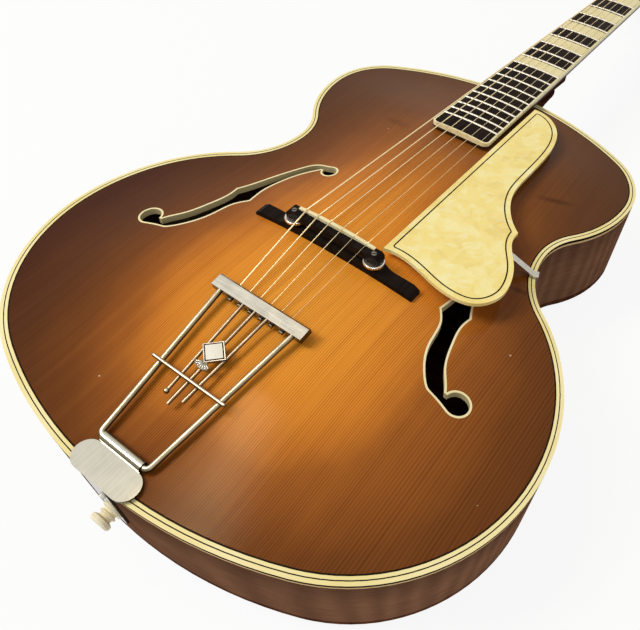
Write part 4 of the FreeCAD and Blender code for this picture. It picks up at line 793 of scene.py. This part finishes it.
def make_thumbwheel(label):
    """Thumbwheel with a knurled rim, in the place of the plain one."""
    low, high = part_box("thumbwheel_" + label)
    centre = (low + high) / 2
    radius = (high.x - low.x) / 2
    half = (high.z - low.z) / 2
    inner = radius - 2 * WHEEL_CHAMFER
    plain = (0,) * len(GROOVE_STEPS)
    rim = half - WHEEL_CHAMFER
    floor = half - DISH_DEPTH
    profile = [(WHEEL_BORE, -half, plain), (inner, -half, plain),
               (radius, -rim, GROOVE_STEPS), (radius, rim, GROOVE_STEPS),
               (inner, half, plain), (radius * DISH_EDGE, half, plain),
               (radius * DISH_FLOOR, floor, plain), (WHEEL_BORE, floor, plain)]
    angles = even_angles(WHEEL_RIDGES * len(GROOVE_STEPS))
    bm = bmesh.new()
    rings = []
    for reach, height, cuts in profile:
        ring = []
        for k, angle in enumerate(angles):
            cut = GROOVE_DEPTH * cuts[k % len(cuts)]
            ring.append(bm.verts.new(centre + polar(reach - cut, angle, height)))
        rings.append(ring)
    join_rings(bm, rings, loop=True)
    piece = new_piece("knurled_wheel_" + label, bm, BRIGHT_NICKEL, "wheel_" + label, smooth=False)
    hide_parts("thumbwheel_" + label)


# Ends of the tailpiece's wires in its own axes: the first rod's bulb, and the cross wire's half length,
# radius, place along the frame and height over it
ROD_END = Vector((-0.007, 0.0415, 0.0008))
ROD_BULB = 0.0019
CROSS_HALF = 0.0305
CROSS_RADIUS = 0.0013
CROSS_RUN = 0.0541
CROSS_LIFT = 0.0033


def make_wire_ends():
    """Bulb on the first rod and rounded ends of the cross wire."""
    bm = bmesh.new()
    add_ball(bm, TAIL @ ROD_END, ROD_BULB)
    for side in (-1, 1):
        add_ball(bm, TAIL @ Vector((side * CROSS_HALF, CROSS_RUN, CROSS_LIFT)), CROSS_RADIUS)
    new_piece("tailpiece_wire_ends", bm, WIRE_NICKEL, "tailpiece")


# Diamond plate: its place and half sizes, the level of its face, how deep the trim sinks into it, and the
# layers of trim with their share of the plate, height, finish and slot
BADGE_RUN = 0.0772
BADGE_HALF_WIDTH = 0.0105
BADGE_HALF_LENGTH = 0.0094
BADGE_LEVEL = 0.0035
BADGE_SINK = 0.0002
BADGE_LAYERS = (
    ("badge_rim", 0.97, 0.00025, BRIGHT_NICKEL, "nickel"),
    ("badge_border", 0.89, 0.00032, BLACK, "black_line"),
    ("badge_face", 0.77, 0.00040, ENAMEL, "cream"),
)

# Fan below the diamond: ribs, half the angle they cover, hub as a share of the half length, reach across and
# along, start of a rib as a share of its reach, and radii of a rib's two ends and of its ball
FAN_RIBS = 7
FAN_HALF_ANGLE = math.radians(62)
FAN_HUB = 0.92
FAN_ACROSS = 0.0056
FAN_ALONG = 0.0042
RIB_START = 0.3
RIB_RADII = (0.00025, 0.00055)
RIB_BALL = 0.0006


def add_slab(bm, outline, low, high):
    """Prism over a convex outline in the tailpiece's plane."""
    join_rings(bm, [[bm.verts.new(TAIL @ Vector((x, y, level))) for x, y in outline]
                    for level in (low, high)])


def diamond(share):
    wide = BADGE_HALF_WIDTH * share
    tall = BADGE_HALF_LENGTH * share
    return [(0, BADGE_RUN - tall), (wide, BADGE_RUN), (0, BADGE_RUN + tall), (-wide, BADGE_RUN)]


def make_badge():
    """Plain enamel face with a rim and a dark border, and a ribbed fan below it."""
    for name, share, height, finish, slot_name in BADGE_LAYERS:
        bm = bmesh.new()
        add_slab(bm, diamond(share), BADGE_LEVEL - BADGE_SINK, BADGE_LEVEL + height)
        new_piece(name, bm, finish, "tailpiece", smooth=False)
    bm = bmesh.new()
    hub = Vector((0, BADGE_RUN - BADGE_HALF_LENGTH * FAN_HUB, BADGE_LEVEL))
    for k in range(FAN_RIBS):
        turn = FAN_HALF_ANGLE * (2 * k / (FAN_RIBS - 1) - 1)
        out = Vector((math.sin(turn) * FAN_ACROSS, -math.cos(turn) * FAN_ALONG, 0))
        add_tube(bm, [TAIL @ (hub + out * RIB_START), TAIL @ (hub + out)], RIB_RADII, sides=8)
        add_ball(bm, TAIL @ (hub + out), RIB_BALL, steps=6)
    new_piece("badge_fan_ribs", bm, BRIGHT_NICKEL, "tailpiece")


# Screwdriver slots: turn, length in radii of the stud, width, and thickness of the dark mark
SLOT_TURN = 0.6
SLOT_REACH = 1.9
SLOT_WIDTH = 0.0008
SLOT_THICKNESS = 0.00008


def make_stud_slots():
    """Dark slots in the stud tops."""
    low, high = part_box("bridge_studs")
    radius = (high.y - low.y) / 2
    size = Matrix.Diagonal((radius * SLOT_REACH, SLOT_WIDTH, SLOT_THICKNESS, 1))
    bm = bmesh.new()
    for x in (low.x + radius, high.x - radius):
        middle = Vector((x, (low.y + high.y) / 2, high.z))
        place = Matrix.Translation(middle) @ Matrix.Rotation(SLOT_TURN, 4, "Z")
        bmesh.ops.create_cube(bm, size=1, matrix=place @ size)
    new_piece("stud_slots", bm, BLACK, "guitar", smooth=False)


# Dark line in the pickguard: lean of the guard, the line's inset, width and height, the steps along the
# guard's edge and along the line, and the share of the inset that each point keeps from the edge
GUARD_LEAN = math.radians(1.98)
GUARD_LINE_INSET = 0.0045
GUARD_LINE_WIDTH = 0.0011
GUARD_LINE_PROUD = 0.00004
GUARD_EDGE_STEP = 0.0016
GUARD_LINE_STEP = 0.002
INSET_KEPT = 0.96
WELD = 1e-6
FACES_UP = 0.99


def face_outline(node, up):
    """Points around a flat node's upper face, in order."""
    bm = bmesh.new()
    bm.from_mesh(node.data)
    bmesh.ops.remove_doubles(bm, verts=bm.verts, dist=WELD)
    top = {face for face in bm.faces if face.normal.dot(up) > FACES_UP}
    following = {}
    for face in top:
        for loop in face.loops:
            if sum(other in top for other in loop.edge.link_faces) == 1:
                following[loop.vert] = loop.link_loop_next.vert
    start = min(following, key=lambda vert: tuple(vert.co))
    points = [start.co.copy()]
    here = following[start]
    while here != start:
        points.append(here.co.copy())
        here = following[here]
    bm.free()
    return points


def resampled(points, step):
    """Points at even steps along a closed line."""
    ends = points[1:] + points[:1]
    lengths = [(b - a).length for a, b in zip(points, ends)]
    count = round(sum(lengths) / step)
    spacing = sum(lengths) / count
    result = []
    travelled = 0.0
    for a, b, length in zip(points, ends, lengths):
        while len(result) < count and len(result) * spacing < travelled + length:
            result.append(a.lerp(b, (len(result) * spacing - travelled) / length))
        travelled += length
    return result


def directions(points):
    """Direction of a closed line at each of its points."""
    count = len(points)
    return [(points[(k + 1) % count] - points[k - 1]).normalized() for k in range(count)]


def moved_inwards(points, up, inset):
    """Closed line inside another, without the points that come too near its edge."""
    shifted = [point + up.cross(along) * inset for point, along in zip(points, directions(points))]
    return [point for point in shifted
            if min((point - other).length for other in points) > inset * INSET_KEPT]


def make_guard_line():
    """Dark line let into the pickguard along its edge."""
    up = Matrix.Rotation(-GUARD_LEAN, 3, "X") @ Vector((0, 0, 1))
    edge = resampled(face_outline(nodes["pickguard"], up), GUARD_EDGE_STEP)
    middle = resampled(moved_inwards(edge, up, GUARD_LINE_INSET), GUARD_LINE_STEP)
    lift = up * GUARD_LINE_PROUD
    bm = bmesh.new()
    rings = []
    for point, along in zip(middle, directions(middle)):
        out = along.cross(up) * GUARD_LINE_WIDTH / 2
        corners = (out - lift, out + lift, lift - out, -out - lift)
        rings.append([bm.verts.new(point + corner) for corner in corners])
    join_rings(bm, rings, loop=True)
    new_piece("pickguard_line", bm, BLACK, "guitar", smooth=False)


# Stage: pale floor that glows for the rays in which the background shows, and an even sky
FLOOR_HALF = 8.0
FLOOR_GAP = 0.0005
FLOOR_TONE = grey(0.86)
FLOOR_ROUGHNESS = 0.9
FLOOR_GLOW = 0.9
SKY_LIGHT = 0.36
WHITE = grey(1.0)

# Lamps: name, place, width and height, power in watts and colour
LAMP_TARGET = Vector((0, 0, 0.1))
LAMPS = (
    ("key", (-1.5, -1.1, 2.3), (1.0, 1.0), 45, (1.0, 1.0, 1.0)),
    ("glint", (-0.89, -0.15, 2.45), (0.4, 0.24), 8, (1.0, 0.74, 0.42)),
    ("fill", (1.8, -1.2, 1.8), (1.5, 1.5), 8, (1.0, 1.0, 1.0)),
)

# Camera found from the photograph: picture size, focal length and axis in pixels, sensor in millimetres,
# place and axes
IMAGE_WIDTH = 640
IMAGE_HEIGHT = 630
FOCAL_PIXELS = 638.886
AXIS_PIXEL = (402.744, 301.639)
SENSOR_WIDTH = 36.0
CAMERA_AT = Vector((0.2178128, -0.2541218, 0.4532359))
CAMERA_RIGHT = Vector((0.81763401, 0.57379352, 0.0472823))
CAMERA_UP = Vector((-0.46813027, 0.61476164, 0.63476151))
CAMERA_NEAR = 0.01


def background_rays(tree):
    """Socket that is one for the rays in which the white background shows."""
    path = tree.nodes.new("ShaderNodeLightPath")
    total = path.outputs["Is Camera Ray"]
    for name in ("Is Glossy Ray", "Is Transmission Ray"):
        either = tree.nodes.new("ShaderNodeMath")
        either.operation = "MAXIMUM"
        tree.links.new(total, either.inputs[0])
        tree.links.new(path.outputs[name], either.inputs[1])
        total = either.outputs[0]
    return total


def show_mixed(tree, share, first, second, output):
    """Show the second shader for a share of the light and the first for the rest."""
    mix = tree.nodes.new("ShaderNodeMixShader")
    for source, socket in zip((share, first.outputs[0], second.outputs[0]), mix.inputs):
        tree.links.new(source, socket)
    tree.links.new(mix.outputs[0], tree.nodes[output].inputs["Surface"])


def make_floor():
    low = cad_box[0].z - FLOOR_GAP
    corners = [(-1, -1), (1, -1), (1, 1), (-1, 1)]
    mesh = bpy.data.meshes.new("floor")
    mesh.from_pydata([(x * FLOOR_HALF, y * FLOOR_HALF, low) for x, y in corners], [], [(0, 1, 2, 3)])
    material = bpy.data.materials.new("white_floor")
    material.use_nodes = True
    tree = material.node_tree
    shader = tree.nodes["Principled BSDF"]
    shader.inputs["Base Color"].default_value = FLOOR_TONE
    shader.inputs["Roughness"].default_value = FLOOR_ROUGHNESS
    glow = tree.nodes.new("ShaderNodeEmission")
    glow.inputs["Color"].default_value = WHITE
    share = tree.nodes.new("ShaderNodeMath")
    share.operation = "MULTIPLY"
    share.inputs[1].default_value = FLOOR_GLOW
    tree.links.new(background_rays(tree), share.inputs[0])
    show_mixed(tree, share.outputs[0], shader, glow, "Material Output")
    mesh.materials.append(material)
    put("floor", mesh)


def make_world():
    world = bpy.data.worlds.new("studio")
    bpy.context.scene.world = world
    world.use_nodes = True
    tree = world.node_tree
    light = tree.nodes["Background"]
    light.inputs["Color"].default_value = WHITE
    light.inputs["Strength"].default_value = SKY_LIGHT
    seen = tree.nodes.new("ShaderNodeBackground")
    seen.inputs["Color"].default_value = WHITE
    show_mixed(tree, background_rays(tree), light, seen, "World Output")


def make_lamp(name, place, size, power, colour):
    data = bpy.data.lights.new(name, "AREA")
    data.shape = "RECTANGLE"
    data.size, data.size_y = size
    data.energy = power
    data.color = colour
    lamp = put(name, data)
    lamp.location = place
    lamp.rotation_euler = (LAMP_TARGET - Vector(place)).to_track_quat("-Z", "Y").to_euler()


def make_camera():
    data = bpy.data.cameras.new("camera")
    data.sensor_width = SENSOR_WIDTH
    data.lens = FOCAL_PIXELS / IMAGE_WIDTH * SENSOR_WIDTH
    data.shift_x = (IMAGE_WIDTH / 2 - AXIS_PIXEL[0]) / IMAGE_WIDTH
    data.shift_y = (AXIS_PIXEL[1] - IMAGE_HEIGHT / 2) / IMAGE_WIDTH
    data.clip_start = CAMERA_NEAR
    camera = put("camera", data)
    turn = Matrix((CAMERA_RIGHT, CAMERA_UP, CAMERA_RIGHT.cross(CAMERA_UP))).transposed()
    camera.matrix_world = Matrix.Translation(CAMERA_AT) @ turn.to_4x4()
    bpy.context.scene.camera = camera


dress_nodes()
make_strings("wound", range(WOUND_COUNT), BRASS_WINDING, "strings_wound")
make_strings("plain", range(WOUND_COUNT, STRING_COUNT), STEEL_WIRE, "strings_plain")
make_ball_ends()
make_thumbwheel("bass")
make_thumbwheel("treble")
make_wire_ends()
make_badge()
make_stud_slots()
make_guard_line()
make_floor()
make_world()
for lamp in LAMPS:
    make_lamp(*lamp)
make_camera()
bpy.context.scene.view_settings.view_transform = "Standard"
